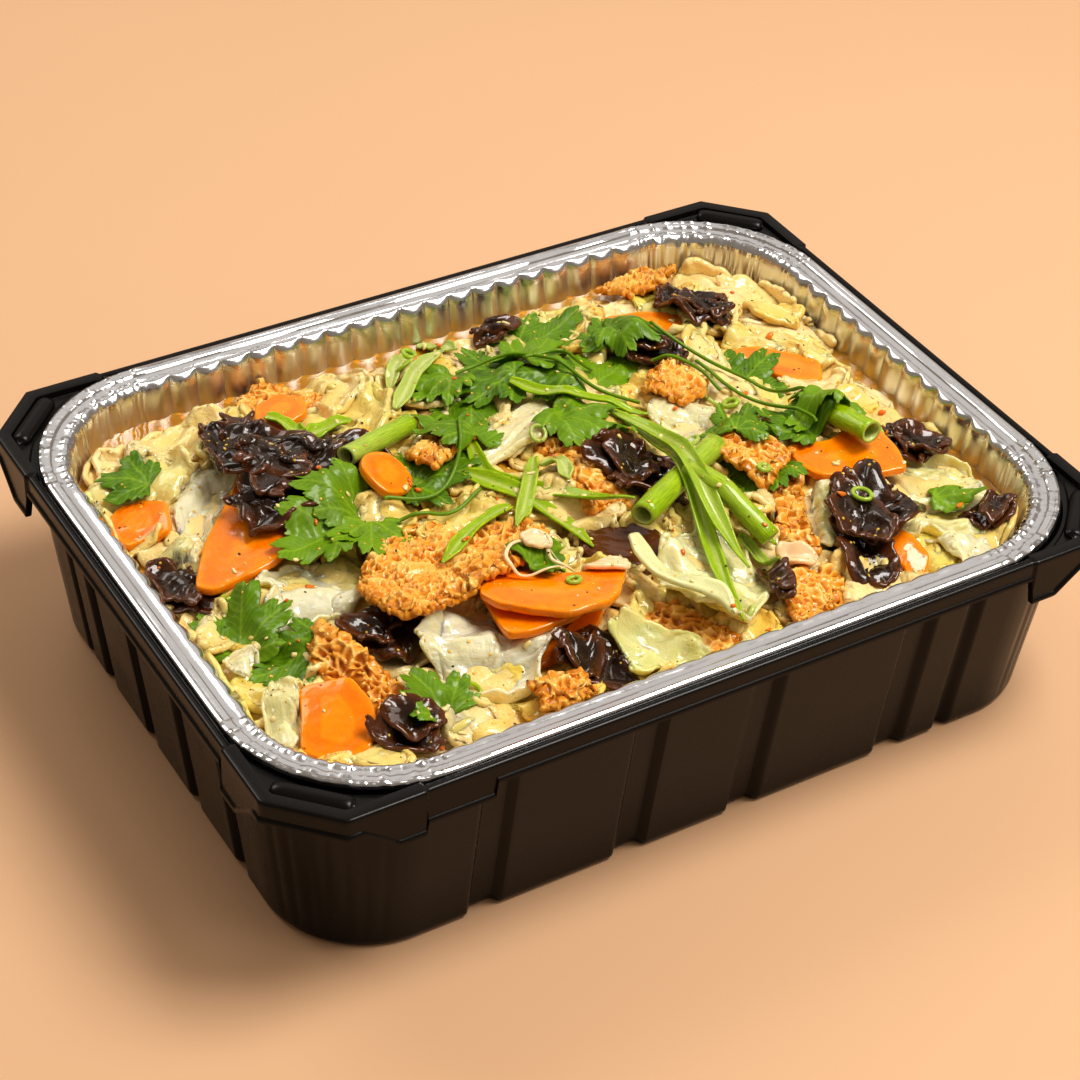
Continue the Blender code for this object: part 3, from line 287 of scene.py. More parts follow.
def join_parts(parts):
    """Several (points, faces, fields) as one."""
    points, triangles, quads, fields = [], [], [], {}
    start = 0
    for spots, faces, values in parts:
        points.append(spots)
        for group in faces:
            if len(group):
                (triangles if group.shape[1] == 3 else quads).append(group + start)
        for key, value in values.items():
            fields.setdefault(key, []).append(value)
        start += len(spots)
    faces = [np.concatenate(group) for group in (triangles, quads) if group]
    return np.concatenate(points), faces, {key: np.concatenate(value) for key, value in fields.items()}


def across_path(path):
    """At each point of a path, the level direction across it and the one square to both."""
    along = unit(np.gradient(path, axis=0))
    side = unit(np.cross(along, (0.0, 0.0, 1.0)))
    return side, np.cross(side, along)


def tube(path, radius, sides, squash=1.0):
    """A closed tube along points in space. The radius may differ along it."""
    path = np.asarray(path, dtype=float)
    radius = np.broadcast_to(radius, len(path))
    side, up = across_path(path)
    turns = 2.0 * math.pi * np.arange(sides) / sides
    ring = side[:, None, :] * np.cos(turns)[None, :, None]
    ring = ring + up[:, None, :] * squash * np.sin(turns)[None, :, None]
    points = (path[:, None, :] + ring * radius[:, None, None]).reshape(-1, 3)
    count = len(path)
    steps = np.arange(count - 1)[:, None] * sides
    here = steps + np.arange(sides)[None, :]
    following = steps + (np.arange(sides)[None, :] + 1) % sides
    quads = np.stack((here, following, following + sides, here + sides), axis=-1).reshape(-1, 4)
    last = (count - 1) * sides
    caps = [(0, k + 1, k) for k in range(1, sides - 1)]
    caps += [(last, last + k, last + k + 1) for k in range(1, sides - 1)]
    share = np.repeat(np.linspace(0.0, 1.0, count), sides)
    around = np.tile(np.arange(sides) / sides, count)
    return points, [np.array(caps), quads[:, ::-1]], {"plan": np.column_stack((share, around, share * 0.0))}


def curve_through(stops, count):
    """Even steps along a smooth curve through two or more stops in a plane or in space."""
    stops = np.array(stops, dtype=float)
    ends = np.vstack((2 * stops[0] - stops[1], stops, 2 * stops[-1] - stops[-2]))
    dense = []
    for index in range(1, len(ends) - 2):
        p0, p1, p2, p3 = ends[index - 1:index + 3]
        for t in np.linspace(0.0, 1.0, 14, endpoint=False):
            dense.append(0.5 * (
                2 * p1 + (p2 - p0) * t + (2 * p0 - 5 * p1 + 4 * p2 - p3) * t ** 2
                + (3 * p1 - p0 - 3 * p2 + p3) * t ** 3
            ))
    dense = np.array(dense + [stops[-1]])
    lengths = np.concatenate(((0.0,), np.cumsum(np.linalg.norm(np.diff(dense, axis=0), axis=1))))
    even = np.linspace(0.0, lengths[-1], count)
    return np.column_stack([np.interp(even, lengths, dense[:, axis]) for axis in range(dense.shape[1])])


# Heights

FILL_ROUNDS = 40


def blur(grid, rounds):
    for _ in range(rounds):
        padded = np.pad(grid, 1, mode="edge")
        grid = (padded[:-2, 1:-1] + 2 * padded[1:-1, 1:-1] + padded[2:, 1:-1]) / 4.0
        padded = np.pad(grid, 1, mode="edge")
        grid = (padded[1:-1, :-2] + 2 * padded[1:-1, 1:-1] + padded[1:-1, 2:]) / 4.0
    return grid


def widen(grid, rounds):
    for _ in range(rounds):
        padded = np.pad(grid, 1, mode="edge")
        grid = np.max([
            padded[a:a + grid.shape[0], b:b + grid.shape[1]] for a in range(3) for b in range(3)
        ], axis=0)
    return grid


def fill_unknown(grid):
    """Unknown cells take the mean of their known neighbours, from the edge of what is known outwards."""
    for _ in range(FILL_ROUNDS):
        unknown = np.isnan(grid)
        if not unknown.any():
            break
        padded = np.pad(grid, 1, constant_values=np.nan)
        around = np.stack([padded[:-2, 1:-1], padded[2:, 1:-1], padded[1:-1, :-2], padded[1:-1, 2:]])
        known = ~np.isnan(around)
        total = np.where(known, around, 0.0).sum(axis=0)
        number = known.sum(axis=0)
        ready = unknown & (number > 0)
        grid = np.where(ready, total / np.maximum(number, 1), grid)
    return grid


def read_grid(grid, origin, step, x, y):
    """Values between the cells of a grid."""
    u = np.clip((np.asarray(x, dtype=float) - origin[0]) / step, 0, grid.shape[0] - 1.001)
    v = np.clip((np.asarray(y, dtype=float) - origin[1]) / step, 0, grid.shape[1] - 1.001)
    i, j = np.floor(u).astype(int), np.floor(v).astype(int)
    a, b = u - i, v - j
    return (
        grid[i, j] * (1 - a) * (1 - b) + grid[i + 1, j] * a * (1 - b)
        + grid[i, j + 1] * (1 - a) * b + grid[i + 1, j + 1] * a * b
    )


class Rest:
    """How high a CAD node's top and underside lie over the plan, read with upright rays."""

    def __init__(self, node, step=1.5, margin=7.5, smooth=3):
        mesh = NODES[node].data
        tree = BVHTree.FromPolygons(
            [tuple(vertex.co) for vertex in mesh.vertices], [tuple(face.vertices) for face in mesh.polygons],
        )
        low, high = (np.array(corner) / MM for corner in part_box(node))
        self.step = step
        self.origin = low[:2] - margin
        shape = np.ceil((high[:2] - low[:2] + 2 * margin) / step).astype(int) + 1
        top = np.full(shape, np.nan)
        under = np.full(shape, np.nan)
        for i in range(shape[0]):
            for j in range(shape[1]):
                x, y = (self.origin + (i * step, j * step)) * MM
                hit = tree.ray_cast(Vector((x, y, 0.2)), Vector((0, 0, -1)))[0]
                if hit is not None:
                    top[i, j] = hit.z / MM
                    under[i, j] = tree.ray_cast(Vector((x, y, -0.1)), Vector((0, 0, 1)))[0].z / MM
        self.raw_under = under
        self.under = blur(fill_unknown(under), smooth)
        self.top = blur(fill_unknown(top), smooth)

    def middle(self, x, y):
        return 0.5 * (self.read(self.under, x, y) + self.read(self.top, x, y))

    def read(self, grid, x, y):
        return read_grid(grid, self.origin, self.step, x, y)


RESTS = {
    name: Rest(name) for name in NODES if name not in ("outer_tray", "foil_tray", "broth", "cabbage_heap")
}
HEAP = Rest("cabbage_heap", step=2.0, margin=10.0, smooth=2)


class Ground:
    """The highest point of what has been laid, on a grid of one-millimetre cells."""

    def __init__(self):
        self.height = np.full((2 * GRID_HALF[0] + 1, 2 * GRID_HALF[1] + 1), BROTH_LEVEL)

    def lay(self, points):
        i = np.clip(np.rint(points[:, 0] + GRID_HALF[0]).astype(int), 0, self.height.shape[0] - 1)
        j = np.clip(np.rint(points[:, 1] + GRID_HALF[1]).astype(int), 0, self.height.shape[1] - 1)
        np.maximum.at(self.height, (i, j), points[:, 2])

    def draped(self, x, y, rounds=2):
        """Heights of something soft that lies there."""
        if rounds not in self.cache:
            self.cache[rounds] = blur(widen(self.height, 1), rounds)
        return read_grid(self.cache[rounds], (-GRID_HALF[0], -GRID_HALF[1]), 1.0, x, y)

    def settle(self):
        """Takes what has been laid so far as the ground for what comes next."""
        self.cache = {}

    def add(self, part):
        self.lay(part[0])
        self.settle()

    def stiff(self, x, y):
        """The plane through the ground under something stiff, with little of the ground above it."""
        spots = np.column_stack((x, y, np.ones(len(x))))
        level = self.draped(x, y)
        slope = np.linalg.lstsq(spots, level, rcond=None)[0]
        slope[:2] = np.clip(slope[:2], -0.45, 0.45)
        plane = spots @ slope
        return plane + np.percentile(level - plane, 80)


ground = Ground()
ground.settle()


def keep_inside(x, y, half=FOOD_HALF):
    """Bends what would cross the foil wall along it. Gives x, y and how far each point was moved."""
    flat = np.abs(np.column_stack((x, y)))
    corner = np.array(half) - FOOD_RADIUS
    beyond = flat - corner
    both = (beyond > 0).all(axis=1)
    away = np.linalg.norm(np.maximum(beyond, 1e-6), axis=1)
    shrink = np.where(both & (away > FOOD_RADIUS), FOOD_RADIUS / away, 1.0)
    rounded = corner + beyond * shrink[:, None]
    squared = np.minimum(flat, half)
    result = np.where(both[:, None], rounded, squared)
    moved = np.linalg.norm(flat - result, axis=1)
    return result[:, 0] * np.sign(x), result[:, 1] * np.sign(y), moved


def turned(u, v, centre, turn):
    angle = math.radians(turn)
    x = centre[0] + u * math.cos(angle) - v * math.sin(angle)
    return x, centre[1] + u * math.sin(angle) + v * math.cos(angle)


def placed(u, v, centre, turn):
    """Where a piece's own u and v lie inside the foil, and how far each point was moved for that."""
    return keep_inside(*turned(u, v, centre, turn))


# Materials

class Paint:
    """A Principled material and the nodes that feed it."""

    def __init__(self, name, **sockets):
        self.material = bpy.data.materials.new(name)
        self.material.use_nodes = True
        self.tree = self.material.node_tree
        self.shader = self.tree.nodes["Principled BSDF"]
        for socket, value in sockets.items():
            self.shader.inputs[socket.replace("_", " ")].default_value = value

    def node(self, kind, sockets=(), **settings):
        made = self.tree.nodes.new("ShaderNode" + kind)
        for key, value in settings.items():
            setattr(made, key, value)
        for socket, value in dict(sockets).items():
            if isinstance(value, bpy.types.NodeSocket):
                self.tree.links.new(value, made.inputs[socket])
            else:
                made.inputs[socket].default_value = value
        return made

    def place(self):
        return self.node("TexCoord").outputs["Object"]

    def field(self, name):
        """The three numbers of a mesh attribute."""
        read = self.node("Attribute", attribute_name=name)
        return self.node("SeparateXYZ", {0: read.outputs["Vector"]}).outputs

    def grain(self, scale, detail=3.0, roughness=0.55, vector=None, distortion=0.0):
        made = self.node("TexNoise", {
            "Vector": vector or self.place(), "Scale": scale, "Detail": detail, "Roughness": roughness,
            "Distortion": distortion,
        })
        return made.outputs["Fac"]

    def spots(self, scale, low, high):
        """1 inside scattered round spots and 0 between them."""
        made = self.node("TexVoronoi", {"Vector": self.place(), "Scale": scale})
        return self.ranged(made.outputs["Distance"], low, high, 1.0, 0.0)

    def ranged(self, value, low, high, start=0.0, end=1.0):
        made = self.node("MapRange", {0: value, 1: low, 2: high, 3: start, 4: end}, clamp=True)
        return made.outputs[0]

    def sum(self, operation, first, second):
        return self.node("Math", {0: first, 1: second}, operation=operation).outputs[0]

    def mix(self, share, first, second):
        made = self.node("Mix", {0: share}, data_type="RGBA")
        for socket, value in ((6, first), (7, second)):
            if isinstance(value, bpy.types.NodeSocket):
                self.tree.links.new(value, made.inputs[socket])
            else:
                made.inputs[socket].default_value = (*value, 1.0)
        return made.outputs[2]

    def feed(self, socket, value):
        self.tree.links.new(value, self.shader.inputs[socket])

    def gloss(self, scale, detail, low, high):
        """Roughness that varies between two values."""
        self.feed("Roughness", self.ranged(self.grain(scale, detail), 0.3, 0.7, low, high))

    def bump(self, height, distance, strength=1.0):
        made = self.node("Bump", {"Height": height, "Distance": distance, "Strength": strength})
        if self.shader.inputs["Normal"].links:
            self.tree.links.new(self.shader.inputs["Normal"].links[0].from_socket, made.inputs["Normal"])
        self.feed("Normal", made.outputs["Normal"])


def wet(paint, coat=0.5, coat_roughness=0.06):
    paint.shader.inputs["Coat Weight"].default_value = coat
    paint.shader.inputs["Coat Roughness"].default_value = coat_roughness
    paint.shader.inputs["Specular IOR Level"].default_value = 0.22
    return paint


def deep(paint, weight, radius, scale=0.004):
    paint.shader.inputs["Subsurface Weight"].default_value = weight
    paint.shader.inputs["Subsurface Radius"].default_value = radius
    paint.shader.inputs["Subsurface Scale"].default_value = scale
    return paint


def paint_black_plastic():
    paint = Paint("black_plastic", Specular_IOR_Level=0.26)
    shade = paint.grain(30.0, 4.0)
    paint.feed("Base Color", paint.mix(shade, (0.0035, 0.003, 0.0028), (0.008, 0.0065, 0.0055)))
    paint.gloss(70.0, 5.0, 0.22, 0.30)
    paint.bump(paint.grain(1400.0, 2.0), 0.00002, 0.4)
    return paint.material


def paint_foil():
    paint = Paint("bright_foil", Metallic=1.0)
    shade = paint.grain(55.0, 4.0)
    paint.feed("Base Color", paint.mix(shade, (0.68, 0.68, 0.70), (0.81, 0.81, 0.83)))
    height = paint.node("SeparateXYZ", {0: paint.place()}).outputs[2]
    uneven = paint.ranged(paint.grain(160.0, 4.0), 0.3, 0.7, 0.0, 0.12)
    paint.feed("Roughness", paint.sum("ADD", paint.ranged(height, 0.069, 0.073, 0.30, 0.16), uneven))
    paint.bump(paint.grain(300.0, 3.0, 0.5), 0.00012, 0.4)
    return paint.material


def paint_broth():
    paint = wet(Paint("amber_broth", Roughness=0.06), 1.0, 0.02)
    shade = paint.grain(45.0, 4.0)
    amber = paint.mix(shade, (0.33, 0.11, 0.003), (0.62, 0.34, 0.03))
    oil = paint.spots(260.0, 0.28, 0.34)
    paint.feed("Base Color", paint.mix(oil, amber, (0.72, 0.30, 0.01)))
    paint.bump(oil, 0.0002, 0.6)
    return deep(paint, 0.25, (1.0, 0.5, 0.15), 0.006).material


def paint_cabbage(name, pale, yellow, green, weight=0.5, depth=0.003):
    """Cooked cabbage: tint.x leans it to yellow, tint.y to green, and plan.z carries its veins."""
    paint = wet(Paint(name), 0.8, 0.04)
    tint = paint.field("tint")
    plan = paint.field("plan")
    colour = paint.mix(tint[0], pale, yellow)
    colour = paint.mix(tint[1], colour, green)
    cloud = paint.ranged(paint.grain(120.0, 4.0), 0.35, 0.75, 0.0, 0.5)
    colour = paint.mix(cloud, colour, [0.80 * value for value in yellow])
    colour = paint.mix(paint.sum("MULTIPLY", plan[2], 0.4), colour, (0.88, 0.80, 0.46))
    specks = paint.spots(240.0, 0.045, 0.065)
    colour = paint.mix(specks, colour, (0.25, 0.16, 0.03))
    paint.feed("Base Color", colour)
    paint.gloss(210.0, 3.0, 0.14, 0.30)
    along = paint.sum("MULTIPLY", plan[0], 0.07)
    lines = paint.node("CombineXYZ", {0: along, 1: paint.sum("MULTIPLY", plan[1], 0.36), 2: tint[2]})
    streaks = paint.grain(1.0, 3.0, 0.55, vector=lines.outputs[0], distortion=0.8)
    paint.bump(streaks, 0.0015, 0.35)
    paint.bump(paint.grain(260.0, 3.0, distortion=0.8), 0.0009, 0.7)
    paint.bump(paint.spots(300.0, 0.05, 0.30), 0.0003, 0.5)
    paint.bump(plan[2], 0.0005, 0.6)
    return deep(paint, weight, (1.0, 0.72, 0.30), depth).material


def paint_carrot():
    paint = wet(Paint("cooked_carrot"), 0.7, 0.04)
    plan = paint.field("plan")
    edge = paint.ranged(plan[2], 0.0, 2.0, 1.0, 0.0)
    fibres = paint.grain(150.0, 5.0, 0.6)
    colour = paint.mix(paint.ranged(fibres, 0.3, 0.7), (0.94, 0.185, 0.0004), (0.98, 0.265, 0.0006))
    colour = paint.mix(paint.sum("MULTIPLY", edge, 0.35), colour, (0.99, 0.40, 0.004))
    core = paint.field("tint")[0]
    colour = paint.mix(core, colour, (0.99, 0.41, 0.008))
    paint.feed("Base Color", colour)
    paint.gloss(240.0, 3.0, 0.16, 0.30)
    paint.bump(paint.grain(320.0, 3.0), 0.0006, 0.5)
    paint.bump(paint.grain(120.0, 2.0), 0.0012, 0.4)
    return deep(paint, 0.2, (1.0, 0.40, 0.05), 0.002).material


def paint_curd():
    paint = wet(Paint("fried_curd"), 0.55, 0.08)
    # tint.x follows the crinkles: painted shade in the pits and painted light on the ridges
    relief = paint.field("tint")[0]
    low = paint.mix(paint.ranged(relief, 0.0, 0.45), (0.40, 0.11, 0.004), (0.84, 0.35, 0.03))
    colour = paint.mix(paint.ranged(relief, 0.45, 1.0), low, (0.99, 0.62, 0.17))
    patch = paint.ranged(paint.grain(110.0, 4.0), 0.4, 0.7, 0.0, 0.45)
    colour = paint.mix(patch, colour, (0.80, 0.30, 0.016))
    paint.feed("Base Color", colour)
    paint.gloss(300.0, 3.0, 0.2, 0.42)
    paint.bump(paint.grain(800.0, 4.0), 0.0005, 0.7)
    return deep(paint, 0.2, (1.0, 0.45, 0.12), 0.002).material


def paint_fungus():
    paint = wet(Paint("wood_ear"), 0.75, 0.03)
    edge = paint.ranged(paint.field("plan")[2], 0.0, 2.6, 1.0, 0.0)
    shade = paint.grain(140.0, 4.0)
    colour = paint.mix(shade, (0.005, 0.0023, 0.001), (0.044, 0.017, 0.006))
    # Lighter reddish edges: painted light showing through the thin rims
    colour = paint.mix(paint.sum("MULTIPLY", edge, 0.75), colour, (0.13, 0.036, 0.007))
    paint.feed("Base Color", colour)
    paint.gloss(260.0, 4.0, 0.12, 0.30)
    paint.bump(paint.grain(240.0, 4.0, distortion=0.8), 0.0009, 0.7)
    return paint.material


def paint_leaf():
    """Herb leaf: plan.z is 1 along its veins."""
    paint = Paint("herb_leaf", Roughness=0.45)
    vein = paint.field("plan")[2]
    tint = paint.field("tint")
    shade = paint.grain(170.0, 4.0)
    colour = paint.mix(paint.ranged(shade, 0.3, 0.7), (0.050, 0.130, 0.0010), (0.120, 0.240, 0.0025))
    colour = paint.mix(tint[0], colour, (0.21, 0.36, 0.006))
    colour = paint.mix(paint.sum("MULTIPLY", vein, 0.55), colour, (0.30, 0.46, 0.035))
    paint.feed("Base Color", colour)
    paint.bump(paint.grain(500.0, 3.0), 0.0003, 0.5)
    paint.bump(vein, 0.0004, -0.8)
    wet(paint, 0.22, 0.12)
    return deep(paint, 0.12, (0.5, 1.0, 0.2), 0.002).material


def paint_onion():
    """Onion green: plan.x runs along a piece, plan.y across it, and tint.x pales it to white."""
    paint = wet(Paint("spring_onion"), 0.55, 0.07)
    plan = paint.field("plan")
    tint = paint.field("tint")
    along = paint.sum("MULTIPLY", plan[0], 2.0)
    lines = paint.node("CombineXYZ", {0: along, 1: paint.sum("MULTIPLY", plan[1], 14.0)})
    streak = paint.grain(3.0, 2.0, vector=lines.outputs[0])
    green = paint.mix(paint.ranged(streak, 0.35, 0.65), (0.19, 0.35, 0.0012), (0.44, 0.58, 0.006))
    paint.feed("Base Color", paint.mix(tint[0], green, (0.80, 0.78, 0.40)))
    paint.gloss(200.0, 3.0, 0.2, 0.34)
    paint.bump(streak, 0.0003, 0.6)
    return deep(paint, 0.25, (0.7, 1.0, 0.2), 0.003).material


def paint_plain(name, first, second, roughness=0.25, weight=0.3):
    """A wet colour with a little cloud in it."""
    paint = wet(Paint(name, Roughness=roughness), 0.7, 0.05)
    paint.feed("Base Color", paint.mix(paint.grain(200.0, 3.0), first, second))
    return deep(paint, weight, (1.0, 0.7, 0.4), 0.002).material


PALE = (0.92, 0.72, 0.38)
YELLOW = (0.90, 0.58, 0.11)
GREEN = (0.62, 0.64, 0.12)
MATERIALS = {
    "black": paint_black_plastic(),
    "foil": paint_foil(),
    "broth": paint_broth(),
    "chopped": paint_cabbage("chopped_cabbage", PALE, YELLOW, GREEN),
    "sauced": paint_cabbage("sauced_cabbage", (0.66, 0.36, 0.04), (0.52, 0.24, 0.01), (0.36, 0.28, 0.01)),
    "cabbage": paint_cabbage("leaf_cabbage", (0.95, 0.79, 0.55), (0.93, 0.72, 0.30), GREEN, 0.7, 0.006),
    "carrot": paint_carrot(),
    "curd": paint_curd(),
    "fungus": paint_fungus(),
    "leaf": paint_leaf(),
    "onion": paint_onion(),
    "pepper": paint_plain("black_pepper", (0.010, 0.007, 0.005), (0.05, 0.03, 0.015), 0.5, 0.0),
    "oil": paint_plain("oil_beads", (0.80, 0.40, 0.04), (0.85, 0.55, 0.12), 0.05, 0.5),
    "garlic": paint_plain("garlic_bits", (0.86, 0.62, 0.24), (0.90, 0.74, 0.38), 0.25, 0.5),
    "crumb": paint_plain("carrot_crumbs", (0.72, 0.10, 0.004), (0.85, 0.28, 0.02), 0.25, 0.2),
    "pink": paint_plain("pink_onion", (0.93, 0.58, 0.32), (0.94, 0.70, 0.44), 0.12, 0.8),
}


# Trays

class Outline:
    """Stations round a rounded rectangle, close together, from which a ring at any offset is made."""

    def __init__(self, half, radius, spacing, arc_spacing=None):
        self.reach = np.array(half) - radius
        self.radius = radius
        feet, normals, turns, alongs, sides = [], [], [], [], []
        for side in range(4):
            span = self.reach[side % 2]
            along = np.array(((1, 0), (0, 1), (-1, 0), (0, -1))[side], dtype=float)
            heading = math.radians(90.0 * side - 90.0)
            out = np.array((math.cos(heading), math.sin(heading)))
            places = np.linspace(-span, span, int(2 * span / spacing) + 2)
            steps = int(radius * math.pi / 2 / (arc_spacing or spacing)) + 1
            arcs = np.linspace(0.0, 90.0, steps + 1)[1:-1]
            feet.append(along * places[:, None] + out * self.reach[(side + 1) % 2])
            feet.append(np.tile(along * span + out * self.reach[(side + 1) % 2], (len(arcs), 1)))
            headings = heading + np.radians(np.concatenate((places * 0.0, arcs)))
            normals.append(np.column_stack((np.cos(headings), np.sin(headings))))
            turns.append(np.concatenate((places * 0.0, arcs)))
            alongs.append(np.concatenate((places, arcs * 0.0 + span)) * (1 if side < 2 else -1))
            sides.append(np.full(len(headings), side))
        self.foot = np.concatenate(feet)
        self.normal = np.concatenate(normals)
        self.turn = np.concatenate(turns)
        self.along = np.concatenate(alongs)
        self.side = np.concatenate(sides)
        self.long_side = self.side % 2 == 0
        # A corner's angle from the long side, whichever way round the corner comes
        self.long_turn = np.where(self.long_side, self.turn, 90.0 - self.turn)
        self.corner = self.turn > 0.0
        self.arc = np.radians(self.turn) * radius + 97.0 * self.side

    def ring(self, offset, height):
        flat = self.foot + self.normal * (self.radius + np.broadcast_to(offset, len(self.foot)))[:, None]
        return np.column_stack((flat, np.broadcast_to(height, len(self.foot))))


def loft(rings):
    """A closed skin through rings, with a fan at the first and the last."""
    count = len(rings[0])
    points = np.concatenate(rings + [rings[0].mean(axis=0)[None, :], rings[-1].mean(axis=0)[None, :]])
    here = np.arange(count)
    following = (here + 1) % count
    quads = []
    for level in range(len(rings) - 1):
        low, high = level * count, (level + 1) * count
        quads.append(np.column_stack((low + here, low + following, high + following, high + here)))
    foot, head = len(points) - 2, len(points) - 1
    last = (len(rings) - 1) * count
    fans = np.concatenate((
        np.column_stack((here * 0 + foot, following, here)),
        np.column_stack((here * 0 + head, last + here, last + following)),
    ))
    return points, [fans, np.concatenate(quads)], {}


TRAY_HALF = (148.2, 110.8)
TRAY_RADIUS = 36.0
TRAY_LEAN = 7.6
TRAY_WALL = (3.4, 66.0)
RIM_HALF = (161.4, 121.8)
RIM_TOP = 75.7
EAR_PROUD = 0.9
EAR_RISE = 0.4
EAR_START = (116.0, 77.0)
EAR_CHAMFER = (143.0, 103.0)
EAR_TAB = 10.0
EAR_SLANT = 12.0
EAR_TAB_BOTTOM = 58.5
EAR_BORDER = 5.0
EAR_PLATE = 73.7
EAR_BAR_HALF = 13.5
EAR_BAR_RADIUS = 3.7
FLANGE_UNDERSIDE = 71.8
SKIRT_BOTTOM = 68.2
# The skirt hangs lower beside the ear that is nearest in the photo
NEAR_EAR_BOTTOM = 62.2
RECESS_FLOOR = 73.1
GROOVE_DEPTH = 3.0
LONG_GROOVES = ((-87.5, 13.5), (-32.5, 13.5), (12.5, 13.5), (73.5, 13.5), (96.5, 7.5))
SHORT_GROOVES = ((-58.0, 9.5), (-23.0, 9.5), (12.0, 9.5), (46.0, 9.5), (63.0, 6.0))
FOIL_HALF = (158.0, 118.65)
FOIL_RADIUS = 53.8
FOIL_PLEAT = 10.2
FOIL_DEPTH = 2.0
FOIL_WALL = ((10.9, 73.0), (19.4, 14.5))
# Edges with a wider angle than this, in degrees, are shaded sharp
PLASTIC_CREASE = 38
FOIL_CREASE = 28


def ear_turn(along_long, along_short):
    """The angle at the wall's corner centre of a point on the ear's edge, from the long side."""
    x = (RIM_HALF[0] + EAR_PROUD if along_long is None else along_long) - (TRAY_HALF[0] - TRAY_RADIUS)
    y = (RIM_HALF[1] + EAR_PROUD if along_short is None else along_short) - (TRAY_HALF[1] - TRAY_RADIUS)
    return math.degrees(math.atan2(x, y))


